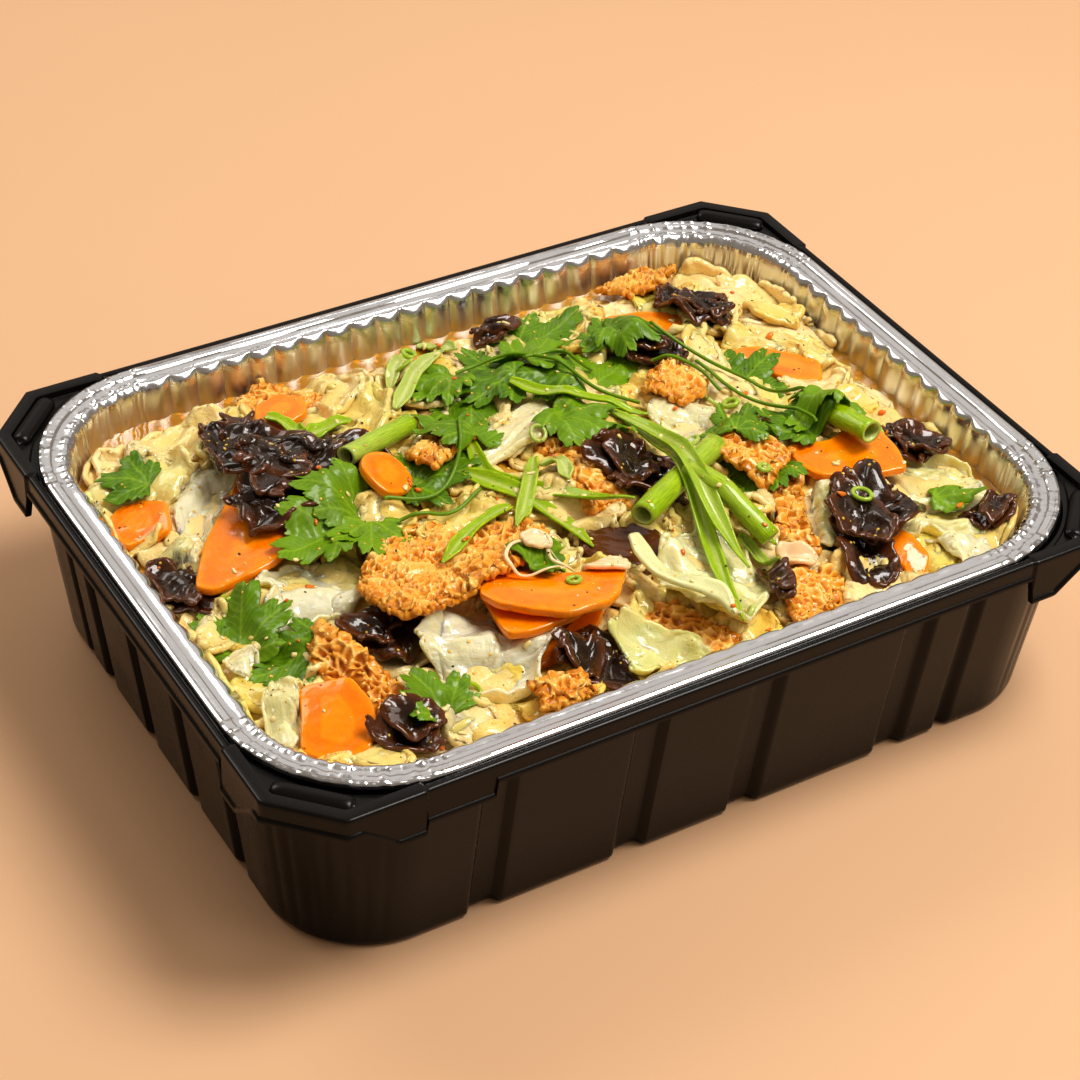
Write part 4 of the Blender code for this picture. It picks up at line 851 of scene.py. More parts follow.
def make_outer_tray():
    outline = Outline(TRAY_HALF, TRAY_RADIUS, 0.8)
    first = ear_turn(EAR_START[0], None)
    last = ear_turn(None, EAR_START[1])
    in_ear = outline.corner & (outline.long_turn > first) & (outline.long_turn < last)
    proud = np.where(in_ear, EAR_PROUD, 0.0)

    groove = np.zeros(len(outline.foot))
    for grooves, chosen in ((LONG_GROOVES, outline.long_side), (SHORT_GROOVES, ~outline.long_side)):
        for centre, width in grooves:
            depth = GROOVE_DEPTH * ease_between(0.0, 3.0, width / 2.0 - np.abs(outline.along - centre))
            groove = np.where(chosen & ~outline.corner, np.maximum(groove, depth), groove)
    middle = ease_between(8.0, 22.0, outline.turn) * ease_between(8.0, 22.0, 90.0 - outline.turn)
    flute = 0.55 * middle * (1.0 - np.abs(np.sin(np.radians(outline.turn) * 20.0)))

    def wall(height):
        share = (height - TRAY_WALL[0]) / (TRAY_WALL[1] - TRAY_WALL[0])
        fade = ease_between(0.0, 0.12, share) * ease_between(0.0, 0.06, 1.0 - share)
        return TRAY_LEAN * share - groove - flute * fade

    def rim(inset):
        """Distance out to the rim's octagon, less an inset square to its edge."""
        half = np.array(RIM_HALF)[None, :] + proud[:, None] - np.broadcast_to(inset, len(proud))[:, None]
        straight = np.where(outline.long_side, half[:, 1] - outline.reach[1], half[:, 0] - outline.reach[0])
        turn = np.radians(np.clip(outline.long_turn, 0.5, 89.5))
        ray = np.column_stack((np.sin(turn), np.cos(turn)))
        sides = (half - outline.reach) / ray
        a = np.array((EAR_CHAMFER[0], RIM_HALF[1] + EAR_PROUD)) - outline.reach
        b = np.array((RIM_HALF[0] + EAR_PROUD, EAR_CHAMFER[1])) - outline.reach
        square = np.array((a[1] - b[1], b[0] - a[0]))
        square /= np.linalg.norm(square)
        chamfer = (square @ a - inset) / (ray @ square)
        corner = np.minimum(np.minimum(sides[:, 0], sides[:, 1]), chamfer)
        return np.where(outline.corner, corner, straight) - outline.radius

    tab = [first, ear_turn(EAR_START[0] + EAR_TAB, None), ear_turn(EAR_START[0] + EAR_TAB + EAR_SLANT, None)]
    tab += [ear_turn(None, EAR_START[1] + EAR_TAB + EAR_SLANT), ear_turn(None, EAR_START[1] + EAR_TAB), last]
    levels = (EAR_TAB_BOTTOM, EAR_TAB_BOTTOM, SKIRT_BOTTOM, SKIRT_BOTTOM, EAR_TAB_BOTTOM, EAR_TAB_BOTTOM)
    bottom = np.where(in_ear, np.interp(outline.long_turn, tab, levels), SKIRT_BOTTOM)
    near_ear = (outline.side == 0) & (outline.foot[:, 0] < -92.0) | (outline.side == 3) & (outline.turn > 0)
    bottom = np.where(near_ear & ~in_ear, NEAR_EAR_BOTTOM, bottom)
    top = RIM_TOP + np.where(in_ear, EAR_RISE, 0.0)
    plate = np.where(in_ear, EAR_PLATE, RIM_TOP)
    strip = np.where(in_ear, EAR_BORDER, 2.1)

    clear = np.where(in_ear, 2.6, 0.8)
    turn = np.radians(outline.long_turn)
    ray = np.column_stack((np.sin(turn), np.cos(turn)))
    start = outline.reach - (np.array(FOIL_HALF) - FOIL_RADIUS)
    half = ray @ start
    radius = FOIL_RADIUS + clear
    arc = -half + np.sqrt(half * half - start @ start + radius * radius) - outline.radius
    flat = np.where(outline.long_side, FOIL_HALF[1] - outline.reach[1], FOIL_HALF[0] - outline.reach[0])
    recess = np.where(outline.corner, arc, flat + clear - outline.radius)

    rows = [(-9.0, 0.5), (-7.5, 0.0)]
    rows += [(wall(TRAY_WALL[0]) - inset, height) for inset, height in (
        (3.2, 0.0), (1.9, 0.15), (1.0, 0.75), (0.35, 1.7), (0.05, 2.8),
    )]
    rows += [(wall(height), height) for height in np.linspace(3.6, TRAY_WALL[1], 12)]
    rows += [(7.9, 69.0), (8.2, 70.8), (8.6, FLANGE_UNDERSIDE)]
    rows += [(rim(1.9), FLANGE_UNDERSIDE), (rim(1.5), FLANGE_UNDERSIDE - 0.6)]
    rows += [(rim(inset), bottom + rise) for inset, rise in (
        (1.5, 0.4), (1.2, 0.0), (-0.4, 0.0), (-0.8, 0.3), (-0.8, 1.2), (-0.5, 1.7), (0.0, 2.1), (0.0, 3.4),
    )]
    rows += [(rim(inset), top - drop) for inset, drop in (
        (0.0, 2.2), (0.0, 1.1), (0.14, 0.5), (0.5, 0.12), (1.0, 0.0), (strip - 0.35, 0.0), (strip, 0.15),
    )]
    rows += [(rim(strip + 0.3), plate + 0.12), (rim(strip + 0.6), plate)]
    rows += [(recess + 0.35, plate), (recess, plate - 0.35), (recess - 0.3, RECESS_FLOOR)]
    rows += [(6.2, RECESS_FLOOR), (4.6, 71.6), (-4.4, 5.0), (-8.0, 1.8)]
    skin = loft([outline.ring(*row) for row in rows])
    add_part("outer_tray_shell", skin, "black", "outer_tray", ["outer_tray"], PLASTIC_CREASE)

    bars = []
    chamfer = (np.array(EAR_CHAMFER) + RIM_HALF + EAR_PROUD) / 2.0
    for sign_x in (-1, 1):
        for sign_y in (-1, 1):
            centre = np.array((sign_x * (chamfer[0] - 6.0), sign_y * (chamfer[1] - 6.0)))
            heading = np.array((sign_x, -sign_y)) / math.sqrt(2.0)
            share = np.linspace(-1.0, 1.0, 33)
            swell = (1.0 - np.abs(share) ** 9) ** (1.0 / 3.0)
            path = centre + heading * (EAR_BAR_HALF * share)[:, None]
            path = np.column_stack((path, np.full(33, EAR_PLATE + 0.2)))
            bars.append(tube(path, EAR_BAR_RADIUS * np.maximum(swell, 0.02), 20, 0.75))
    points, faces, _ = join_parts(bars)
    add_part("ear_bars", (points, faces, {}), "black", "outer_tray")


def make_foil_tray():
    outline = Outline(FOIL_HALF, FOIL_RADIUS, 0.95, 0.5)
    span = np.where(outline.long_side, outline.reach[0], outline.reach[1])
    pitch = 2.0 * span / np.rint(2.0 * span / FOIL_PLEAT)
    wave = np.abs(np.sin(math.pi * (outline.along + span) / pitch)) ** 0.7
    straight = np.where(outline.corner, 0.0, ease_between(0.0, 5.0, span - np.abs(outline.along)))
    pleat = straight * (wave - 0.55)
    arc = outline.arc
    crease = np.where(outline.corner, 1.0, 1.0 - straight)

    def ring(inset, height, fold, crimp, band):
        long_wave = 0.10 * noise(outline.arc * 0.05 + outline.along * 0.05, band * 3.1, 3.3)
        group = int(band > 4.5)
        brick = facets(arc / 2.1, group)
        short = facets(arc / 1.2, group + 9)
        sharp = (0.5 - np.abs(noise(arc * 0.42, band * 0.35, 7.7))) * crease
        inward = inset + fold * (FOIL_DEPTH * pleat + 1.3 * sharp)
        inward = inward + crimp * (long_wave + 0.18 * brick * crease)
        return outline.ring(-inward, height + crimp * (long_wave + (0.36 * brick + 0.18 * short) * crease))

    rings = [outline.ring(-inset, height) for inset, height in (
        (24.0, 10.0), (19.0, 13.0), (9.6, 71.2), (8.8, 74.0), (1.6, 74.2),
    )]
    # Inset, height, share of the pleats, share of the crimps, band
    rings += [ring(*row) for row in (
        (0.7, 73.7, 0.0, 0.0, 0), (0.15, 74.1, 0.0, 0.4, 1), (0.0, 74.9, 0.0, 0.5, 1),
        (0.15, 75.7, 0.0, 0.6, 1), (0.6, 76.3, 0.0, 0.8, 1), (1.3, 76.55, 0.0, 0.9, 1.1),
        (2.0, 76.4, 0.0, 0.5, 2), (2.3, 76.25, 0.0, 0.3, 2), (3.2, 76.3, 0.0, 0.6, 3),
        (4.1, 76.25, 0.0, 0.9, 3), (4.5, 76.0, 0.0, 0.9, 3.2), (4.9, 75.4, 0.0, 0.6, 4),
        (5.6, 75.2, 0.0, 0.4, 4), (6.7, 75.2, 0.0, 0.4, 5), (7.3, 75.28, 0.02, 0.7, 5),
        (7.8, 75.4, 0.05, 1.0, 6), (8.4, 75.5, 0.10, 1.0, 6.1), (9.0, 75.45, 0.22, 0.9, 6.2),
        (9.5, 75.25, 0.45, 0.6, 6.4), (9.9, 74.85, 0.7, 0.5, 6.6), (10.3, 74.2, 0.9, 0.3, 7),
        (10.9, 73.0, 1.0, 0.2, 7),
    )]
    for share in np.linspace(0.0, 1.0, 16)[1:]:
        inset = FOIL_WALL[0][0] + share * (FOIL_WALL[1][0] - FOIL_WALL[0][0])
        height = FOIL_WALL[0][1] + share * (FOIL_WALL[1][1] - FOIL_WALL[0][1])
        rings.append(ring(inset, height, 1.0 - 0.3 * share, 0.3, 8 + 3 * share))
    rings += [ring(20.6, 12.2, 0.4, 0.0, 0), outline.ring(-23.0, 11.0)]
    add_part("foil_tray_shell", loft(rings), "foil", "foil_tray", ["foil_tray"], FOIL_CREASE)


def rounded_field(half, radius):
    def field(x, y):
        beyond = np.abs(np.stack((x, y))) - (np.array(half) - radius)[:, None, None]
        outside = np.hypot(np.maximum(beyond[0], 0.0), np.maximum(beyond[1], 0.0))
        return radius - outside - np.minimum(np.maximum(beyond[0], beyond[1]), 0.0)
    return field


def heap_solid(x, y, height, triangles, rim, floor, shrink):
    """A closed solid from a surface down to a smaller flat foot."""
    count = len(x)
    points = np.concatenate((
        np.column_stack((x, y, height)), np.column_stack((x * shrink, y * shrink, np.full(count, floor))),
    ))
    sides = np.column_stack((rim[:, 0] + count, rim[:, 1] + count, rim[:, 1], rim[:, 0]))
    return points, [np.concatenate((triangles, triangles[:, ::-1] + count)), sides]


def make_broth():
    """Broth up to its level. Its edge goes just into the foil."""
    inset = 11.7
    half = (FOIL_HALF[0] - inset, FOIL_HALF[1] - inset)
    field = rounded_field(half, FOIL_RADIUS - inset)
    x, y, depth, triangles, rim = cut_plan(field, (half[0] + 3, half[1] + 3), 1.6)
    waves = 0.25 * ripple(x, y, 0.06, 2.0) + 0.10 * ripple(x, y, 0.25, 4.0)
    meniscus = 0.7 * np.exp(-np.maximum(depth - 1.2, 0.0) / 1.2)
    points, faces = heap_solid(x, y, BROTH_LEVEL + waves + meniscus, triangles, rim, BROTH_FLOOR, 0.94)
    add_part("broth_fill", (points, faces, {}), "broth", "broth", ["broth"])
    ground.lay(np.column_stack((x, y, BROTH_LEVEL + waves)))


# Kinds of food. Each gives points, faces and fields, from a function for the height of its middle.

# Sizes of the cells from which pieces are cut
FUNGUS_STEP = 0.62
CARROT_STEP = 0.7
CURD_STEP = 0.5
LEAF_STEP = 0.45
# Half thicknesses
CARROT_HALF = 1.7
CURD_HALF = 1.8
# Width of the curd's crinkles
CURD_CELL = 3.8
STALK_SIDES = 20
# How many points the routes of blades, stalks, and smaller shreds and stems have
BLADE_POINTS = 60
STALK_POINTS = 14
SHRED_POINTS = 40
# A piece of fungus wider than this has three layers
THREE_LAYERS = 30


def blob_field(size, seed, wobble=0.12, power=2.0, waves=2.0):
    a, b = size[0] / 2.0, size[1] / 2.0

    def field(u, v):
        share = (np.abs(u / a) ** power + np.abs(v / b) ** power) ** (1.0 / power)
        uneven = wobble * rough(waves * u / a, waves * v / b, seed * 1.7, seed, 3)
        return (1.0 - share + uneven) * min(a, b)
    return field


def in_first(values):
    """Rows of three numbers with these values in the first place."""
    return np.column_stack((values, values * 0, values * 0))


def sheet_piece(points, triangles, rim, half, plan, tint, **edge):
    """A closed sheet with the two fields that its material reads."""
    points, faces, source = close_sheet(np.column_stack(points), triangles, rim, half, **edge)
    return points, faces, {"plan": np.column_stack(plan)[source], "tint": tint[source]}


def inside_depth(corners):
    """How deep points lie inside an outline given by its corners. Outside it the number is less than 0."""
    starts = np.array(corners, dtype=float)
    ends = np.roll(starts, -1, axis=0)

    def depth(x, y):
        nearest = np.full(np.shape(x), 1e9)
        inside = np.zeros(np.shape(x), dtype=bool)
        for (ax, ay), (bx, by) in zip(starts, ends):
            run_x, run_y = bx - ax, by - ay
            share = ((x - ax) * run_x + (y - ay) * run_y) / (run_x ** 2 + run_y ** 2 + 1e-9)
            share = np.clip(share, 0.0, 1.0)
            nearest = np.minimum(nearest, np.hypot(x - ax - run_x * share, y - ay - run_y * share))
            crossing = run_x * (y - ay) / (run_y if run_y else 1.0) + ax
            inside ^= ((ay > y) != (by > y)) & (x < crossing)
        return np.where(inside, nearest, -nearest)
    return depth


def soften(corners, cut):
    """Cuts the corners off an outline twice."""
    corners = np.array(corners, dtype=float)
    for _ in range(2):
        following = np.roll(corners, -1, axis=0)
        near = corners * (1 - cut) + following * cut
        far = corners * cut + following * (1 - cut)
        corners = np.stack((near, far), axis=1).reshape(-1, 2)
    return corners


class Cut:
    """The plan of a piece in its own u and v: a field that is above 0 inside, and how far it reaches."""

    def __init__(self, corners, centre, turn, cut):
        angle = math.radians(turn)
        away = soften(corners, cut) - centre
        self.local = np.column_stack((
            away[:, 0] * math.cos(angle) + away[:, 1] * math.sin(angle),
            away[:, 1] * math.cos(angle) - away[:, 0] * math.sin(angle),
        ))
        self.depth = inside_depth(self.local)
        self.reach = np.abs(self.local).max(axis=0)

    def ragged(self, amount, scale, seed):
        def field(u, v):
            return self.depth(u, v) + amount * rough(u * scale, v * scale, seed * 1.3, seed, 3)
        return field, tuple(self.reach + 3.0)


def fungus_part(base, centre, size, turn, seed, layers, cut):
    parts = []
    generator = np.random.default_rng(seed + 300)
    for layer in range(layers):
        shrink = (1.0, 0.70, 0.52)[layer]
        shape = (size[0] * shrink, size[1] * shrink)
        plan = blob_field(shape, seed + 17 * layer, 0.38, 2.0, 1.7), (0.66 * shape[0], 0.66 * shape[1])
        if cut and not layer:
            plan = cut.ragged(2.2, 0.12, seed)
        u, v, depth, triangles, rim = cut_plan(*plan, FUNGUS_STEP)
        edge = 1.0 - np.clip(depth / (0.30 * min(shape)), 0.0, 1.0)
        fold = 0.115
        reach = 0.07 * min(size) + 1.5
        push_u = reach * 1.2 * ripple(u, v, fold, 1.0, seed + layer)
        push_v = reach * 1.2 * ripple(u, v, fold, 5.0, seed + layer)
        swell = 0.10 * min(size) + 1.6
        rise = swell * (0.35 + 0.65 * edge) * (rough(u * 0.095, v * 0.095, 9.0, seed + layer, 2) + 0.25)
        rise += 1.7 * (0.5 - np.abs(ripple(u, v, 0.17, 2.0, seed + layer)))
        rise += 0.75 * ripple(u, v, 0.36, 6.0, seed + layer)
        angle = 2.4 * seed + 2.0 * layer
        shift = (layer > 0) * 0.14 * np.array((size[0] * math.cos(angle), size[1] * math.sin(angle)))
        x, y, moved = placed(u + push_u + shift[0], v + push_v + shift[1], centre, turn)
        lift = 0.3 + 2.6 * layer + generator.uniform(-0.3, 0.3)
        z = np.minimum(base(x, y) + lift + rise + 0.5 * moved, FOOD_CEILING)
        half = 0.72 + 0.45 * np.clip(depth / 3.0, 0.0, 1.0)
        tint = np.zeros((len(u), 3)) + (0.0, 0.0, layer)
        parts.append(sheet_piece((x, y, z), triangles, rim, half, (u, v, depth), tint, out=0.9, steps=4))
    return join_parts(parts)


def carrot_part(base, centre, size, turn, seed, hexagon, cut):
    a, b = size[0] / 2.0, size[1] / 2.0
    corners = math.radians(17.2 * seed)

    def share_of(u, v):
        if not hexagon:
            return np.abs(v / b) ** 1.35 + np.abs(u / a) ** 2.1 + 0.06 * ripple(u, v, 0.08, seed)
        headings = [corners + k * 1.0472 for k in range(3)]
        sides = [np.abs(u / a * math.cos(angle) + v / b * math.sin(angle)) for angle in headings]
        return sum(side ** 14 for side in sides) ** (1.0 / 14) + 0.05 * ripple(u, v, 0.1, seed)

    plan = (lambda p, q: (1.0 - share_of(p, q)) * min(a, b)), (1.1 * a, 1.1 * b)
    if cut:
        plan = cut.ragged(0.35, 0.10, seed)
    u, v, depth, triangles, rim = cut_plan(*plan, CARROT_STEP)
    x, y, moved = placed(u, v, centre, turn)
    uneven = 0.30 * ripple(u, v, 0.10, seed) + 0.05 * ripple(u, v, 0.5, seed)
    z = np.minimum(base(x, y) + 0.3 * moved + uneven, FOOD_CEILING - 1.0)
    thick = CARROT_HALF * (0.9 + 0.1 * np.clip(depth / 2.0, 0.0, 1.0))
    share = 1.0 - depth / depth.max()
    if hexagon:
        core = 0.35 * ease_between(0.42, 0.36, share) + 0.35 * np.exp(-((share - 0.42) / 0.05) ** 2)
    else:
        core = 0.30 * ease_between(0.45, 0.26, share)
    return sheet_piece(
        (x, y, z), triangles, rim, thick, (u, v, depth), in_first(core), out=0.5, square=0.6, steps=6,
    )


def curd_part(base, centre, size, turn, seed, cut):
    a, b = size[0] / 2.0, size[1] / 2.0

    def crinkle(u, v):
        warp_u = u + 1.5 * ripple(u, v, 0.17, 1.0, seed) + 0.7 * ripple(u, v, 0.5, 3.0, seed)
        warp_v = v + 1.5 * ripple(u, v, 0.17, 4.0, seed) + 0.7 * ripple(u, v, 0.5, 6.0, seed)
        first, second = cell_noise(warp_u / CURD_CELL, warp_v / (0.72 * CURD_CELL), seed)
        walls = 1.0 - ease_between(0.02, 0.42, second - first)
        folds = 1.0 - ease_between(0.0, 0.34, np.abs(noise(warp_u * 0.13, warp_v * 0.30, 7.0, seed)))
        return np.clip(0.72 * walls + 0.62 * folds, 0.0, 1.15)

    def field(u, v):
        straight = cut.depth(u, v) if cut else np.minimum(a - np.abs(u), b - np.abs(v))
        return straight + 1.5 * rough(u * 0.12, v * 0.12, seed, 3) + 1.1 * (crinkle(u, v) - 0.5)

    reach = cut.reach + 3.5 if cut else (a + 3.5, b + 3.5)
    u, v, depth, triangles, rim = cut_plan(field, reach, CURD_STEP)
    ridge = crinkle(u, v)
    x, y, moved = placed(u, v, centre, turn)
    inner = ease_between(0.0, 2.4, depth)
    ruffle = (1.0 - ease_between(0.0, 3.5, depth)) * 1.5 * ripple(u, v, 0.42, 8.0, seed)
    z = base(x, y) + 0.4 * moved + 1.5 * ripple(u, v, 0.10, 2.0, seed) + ruffle
    relief = (0.3 + 0.7 * inner) * (2.3 * ridge - 0.75) + 0.40 * rough(u * 0.6, v * 0.6, 1.0, seed, 2)
    z = np.minimum(z - 0.4, FOOD_CEILING - 2.0)
    # Painted shade in the pits and painted light on the ridges, from the crinkles, with some random tone
    shade = 0.12 + 0.85 * ridge * (0.5 + 0.5 * inner) + 0.22 * rough(u * 0.3, v * 0.3, 5.0, seed, 2)
    tint = in_first(np.clip(shade, 0.0, 1.0))
    return sheet_piece(
        (x, y, z), triangles, rim, CURD_HALF * (0.6 + 0.4 * inner), (u, v, depth), tint,
        relief=relief, out=0.6, square=0.9, steps=4,
    )


def cabbage_part(
    base, centre, size, turn, seed, step=0.8, fold=1.0, curl=1.0, veins=0.35, tint=(0.3, 0.1), power=2.4,
    half=0.62, wobble=0.20, limit=None, cut=None,
):
    """A soft leaf: long folds, finer creases, a curled edge and veins that fan from one end."""
    plan = blob_field(size, seed, wobble, power, 1.5), (0.66 * size[0], 0.66 * size[1])
    if cut:
        plan = cut.ragged(0.10 * min(size) * wobble / 0.2, 0.10, seed)
    u, v, depth, triangles, rim = cut_plan(*plan, step)
    small = min(size)
    edge = 1.0 - np.clip(depth / (0.22 * small), 0.0, 1.0)
    drift = ripple(u, v, 0.045, 3.0, seed)
    waves = np.sin(0.30 * v + 3.0 * drift + seed) * (0.045 * small)
    creases = rough(u * 0.10, v * 0.15, 6.0, seed, 3) * (0.050 * small + 0.6)
    lift = 0.06 * small + 1.0
    rolled = curl * edge ** 2 * lift * (0.35 + ripple(u, v, 0.07, 8.0, seed))
    push = 0.055 * small + 0.6
    x, y, moved = placed(
        u + fold * push * ripple(u, v, 0.12, 1.0, seed) - curl * 0.10 * u * edge ** 2,
        v + fold * push * ripple(u, v, 0.12, 4.0, seed) - curl * 0.10 * v * edge ** 2, centre, turn,
    )
    line = 0.5 - np.abs(noise(u * 0.05 + 0.35 * drift, v * 0.26, 12.0, seed))
    z = base(x, y) + fold * (waves + creases + 1.5 * line ** 3 * 4.0) + rolled + 0.6 * moved
    if limit is not None:
        z = np.minimum(z, limit(x, y))
    z = np.minimum(z, FOOD_CEILING)
    fan = np.arctan2(v, u + 0.75 * size[0])
    spread = np.sin(fan * 13.0 + 0.6 * ripple(u, v, 0.1, 2.0, seed))
    vein = np.clip(1.0 - np.abs(spread) * 4.0, 0.0, 1.0)
    rib = np.exp(-(v / (0.05 * small * (1.3 - u / size[0]))) ** 2)
    vein = np.clip(vein * 0.7 + rib, 0.0, 1.0) * veins * 2.0
    thick = half * (1.0 + 0.9 * rib * veins) + 0.15 * vein
    cloud = 0.25 * ripple(u, v, 0.06, 9.0, seed)
    shades = np.tile((*tint, seed * 0.37 % 5.0), (len(u), 1)) + cloud[:, None] * (1.0, 0.6, 0.0)
    shades = np.clip(shades, 0.0, (1.0, 1.0, 5.0))
    return sheet_piece((x, y, z), triangles, rim, thick, (u, v, vein), shades, out=0.8, steps=3)


LOBES = ((-84.0, 0.60), (-43.0, 0.82), (0.0, 1.0), (43.0, 0.82), (84.0, 0.60))
LEAF_TEETH = 11.0


def leaflet_part(base, centre, size, turn, seed, lift=1.0):
    """A lobed leaflet with rounded teeth and veins. Its stem end is on the side away from its turn."""
    length, width = size
    generator = np.random.default_rng(seed + 70)
    root = 0.46
    lobes = [
        (math.radians(heading + generator.uniform(-7, 7)), reach * generator.uniform(0.92, 1.08))
        for heading, reach in LOBES
    ]

    def shape(u, v):
        p, q = u / length + root, v / width
        away, angle = np.hypot(p, q), np.arctan2(q, p)
        best = np.zeros(np.shape(u))
        vein = np.zeros(np.shape(u))
        for heading, reach in lobes:
            off = angle - heading
            limit = reach * np.clip(np.cos(np.clip(off * 2.5, -1.57, 1.57)), 0.0, 1.0) ** 0.6
            mine = limit > best
            best = np.maximum(best, limit)
            along = away * np.cos(off) * length
            across = np.abs(away * np.sin(off)) * width
            ribs = np.abs(((along - 1.25 * across) / 2.4 + 0.5) % 1.0 - 0.5) * 2.4
            lines = np.exp(-(across / 0.34) ** 2)
            lines += 0.55 * np.exp(-(ribs / 0.30) ** 2) * (across < 0.2 * width)
            vein = np.where(mine, np.clip(lines, 0.0, 1.0), vein)
        turn_of_tooth = angle * LEAF_TEETH + 0.6 * np.sin(3.0 * angle + seed)
        teeth = 0.74 + 0.22 * np.abs(np.sin(turn_of_tooth)) ** 0.6
        teeth += 0.05 * np.abs(np.sin(3.0 * turn_of_tooth))
        return (best * teeth - away) * min(size), vein, away / np.maximum(best, 0.05)

    u, v, _, triangles, rim = cut_plan(lambda p, q: shape(p, q)[0], (0.62 * length, 0.8 * width), LEAF_STEP)
    _, vein, share = shape(u, v)
    x, y, moved = placed(u, v, centre, turn)
    away = np.hypot(u + root * length, v) / length
    wave = 1.1 * ripple(u, v, 0.12, 1.0, seed) + 0.45 * ripple(u, v, 0.35, 2.0, seed)
    cup = 0.9 * np.sin(math.pi * np.clip(share, 0.0, 1.0)) + lift * 1.5 * away * (1.0 - 0.75 * away) * 2.0
    z = np.minimum(base(x, y) + wave + cup + 0.5 * moved, FOOD_CEILING)
    half = 0.17 + 0.08 * vein
    tint = in_first(np.full(len(u), generator.uniform(0.0, 0.55)))
    return sheet_piece((x, y, z), triangles, rim, half, (u, v, vein), tint, out=1.0, steps=2)


# A leaf at least this wide has three leaflets: places as shares of its size, turn, size
WHOLE_LEAF = 29.0
LEAFLETS = (((0.22, 0.0), 0.0, 0.60), ((-0.10, 0.25), 52.0, 0.52), ((-0.10, -0.25), -52.0, 0.52))


def leaf_part(base, centre, size, turn, seed):
    if min(size) < WHOLE_LEAF:
        return leaflet_part(base, centre, size, turn, seed)
    parts = []
    for index, (place, lean, share) in enumerate(LEAFLETS):
        x, y = turned(place[0] * size[0], place[1] * size[1], centre, turn)
        parts.append(leaflet_part(
            lambda p, q, index=index: base(p, q) + 0.7 * index, (x, y),
            (share * size[0], share * size[0] * 0.95), turn + lean, seed + 200 * index, lift=0.7,
        ))
    return join_parts(parts)


def blade_part(path, width, seed, cup=1.0, half=0.42, pale=0.0, twist=0.0):
    """An onion leaf along points in space: a hollowed strip with pointed ends."""
    count, across = len(path), 9
    side, up = across_path(path)
    share = np.linspace(0.0, 1.0, count)
    wide = width / 2.0 * np.clip(np.minimum((1.0 - share) * 5.0, 0.45 + share * 4.0), 0.06, 1.0)
    wide = wide * (1.0 + 0.10 * noise(share * 6.0, seed * 1.3))
    roll = twist * np.sin(share * math.pi * 1.6 + seed)
    row = np.linspace(-1.0, 1.0, across)
    sides = side * np.cos(roll)[:, None] + up * np.sin(roll)[:, None]
    ups = up * np.cos(roll)[:, None] - side * np.sin(roll)[:, None]
    points = (
        path[:, None, :] + sides[:, None, :] * (wide[:, None] * row[None, :])[:, :, None]
        + ups[:, None, :] * (cup * wide[:, None] * 0.45 * (row[None, :] ** 2 - 0.4))[:, :, None]
    ).reshape(-1, 3)
    ids = np.arange(count * across).reshape(count, across)
    a, b, c, d = ids[:-1, :-1].ravel(), ids[:-1, 1:].ravel(), ids[1:, 1:].ravel(), ids[1:, :-1].ravel()
    triangles = np.concatenate((np.column_stack((a, b, c)), np.column_stack((a, c, d))))
    plan = np.repeat(share, across) * count / 30.0, np.tile(row, count), np.zeros(count * across)
    white = np.clip(pale + 0.35 * np.exp(-(plan[1] / 0.25) ** 2) * (pale < 0.5), 0.0, 1.0)
    return sheet_piece(points.T, triangles, rim_of(triangles), half, plan, in_first(white), out=1.0, steps=3)


def stalk_part(path, radius, seed, pale=0.0):
    """A cut onion stalk: a tube with a wall and open ends."""
    count, sides = len(path), STALK_SIDES
    share = np.linspace(0.0, 1.0, count)
    outer = radius * (1.0 + 0.05 * noise(share * 5.0, seed))
    shell = [tube(path, outer, sides, 0.9), tube(path, outer * 0.74, sides, 0.9)]
    points = np.concatenate((shell[0][0], shell[1][0]))
    quads = [shell[0][1][1], shell[1][1][1][:, ::-1] + count * sides]
    here = np.arange(sides)
    following = (here + 1) % sides
    inside = count * sides
    last = (count - 1) * sides
    quads.append(np.column_stack((here, following, following + inside, here + inside)))
    here, following = last + here, last + following
    quads.append(np.column_stack((following, here, here + inside, following + inside)))
    plan = np.concatenate((shell[0][2]["plan"], shell[1][2]["plan"]))
    inner = np.repeat((0.0, 1.0), count * sides)
    plan = plan * (count / 12.0, 2.0, 1.0)
    white = np.clip(pale * (1.0 - np.tile(np.repeat(share, sides), 2)) + 0.45 * inner, 0.0, 1.0)
    return points, [np.concatenate(quads)], {"plan": plan, "tint": in_first(white)}


# The heap of chopped cabbage

HEAP_HALF = (138.0, 99.0)
HEAP_STEP = 1.2
HEAP_EDGE = 59.0
HEAP_FOOT = 57.5
# The grid of cut leaves: its steps, how far a leaf strays, the middles' limits, the cells of a leaf
SHEET_GRID = (16.5, 15.0)
SHEET_STRAY = 6.5
SHEET_HALF = (137.0, 97.0)
SHEET_STEP = 1.25


def heap_ceiling():
    """The lowest underside of the named pieces over each cell of the ground grid."""
    ceiling = np.full(ground.height.shape, FOOD_CEILING)
    for rest in RESTS.values():
        i, j = np.nonzero(~np.isnan(rest.raw_under))
        for step_x in (-1, 0, 1):
            for step_y in (-1, 0, 1):
                x = np.rint(rest.origin[0] + i * rest.step + 0.7 * step_x + GRID_HALF[0]).astype(int)
                y = np.rint(rest.origin[1] + j * rest.step + 0.7 * step_y + GRID_HALF[1]).astype(int)
                x = np.clip(x, 0, ceiling.shape[0] - 1)
                y = np.clip(y, 0, ceiling.shape[1] - 1)
                np.minimum.at(ceiling, (x, y), rest.raw_under[i, j])
    return ceiling


CEILING = heap_ceiling()


def under_ceiling(x, y):
    return read_grid(CEILING, (-GRID_HALF[0], -GRID_HALF[1]), 1.0, x, y) - 0.5


def heap_top(x, y):
    return HEAP.read(HEAP.top, x, y)


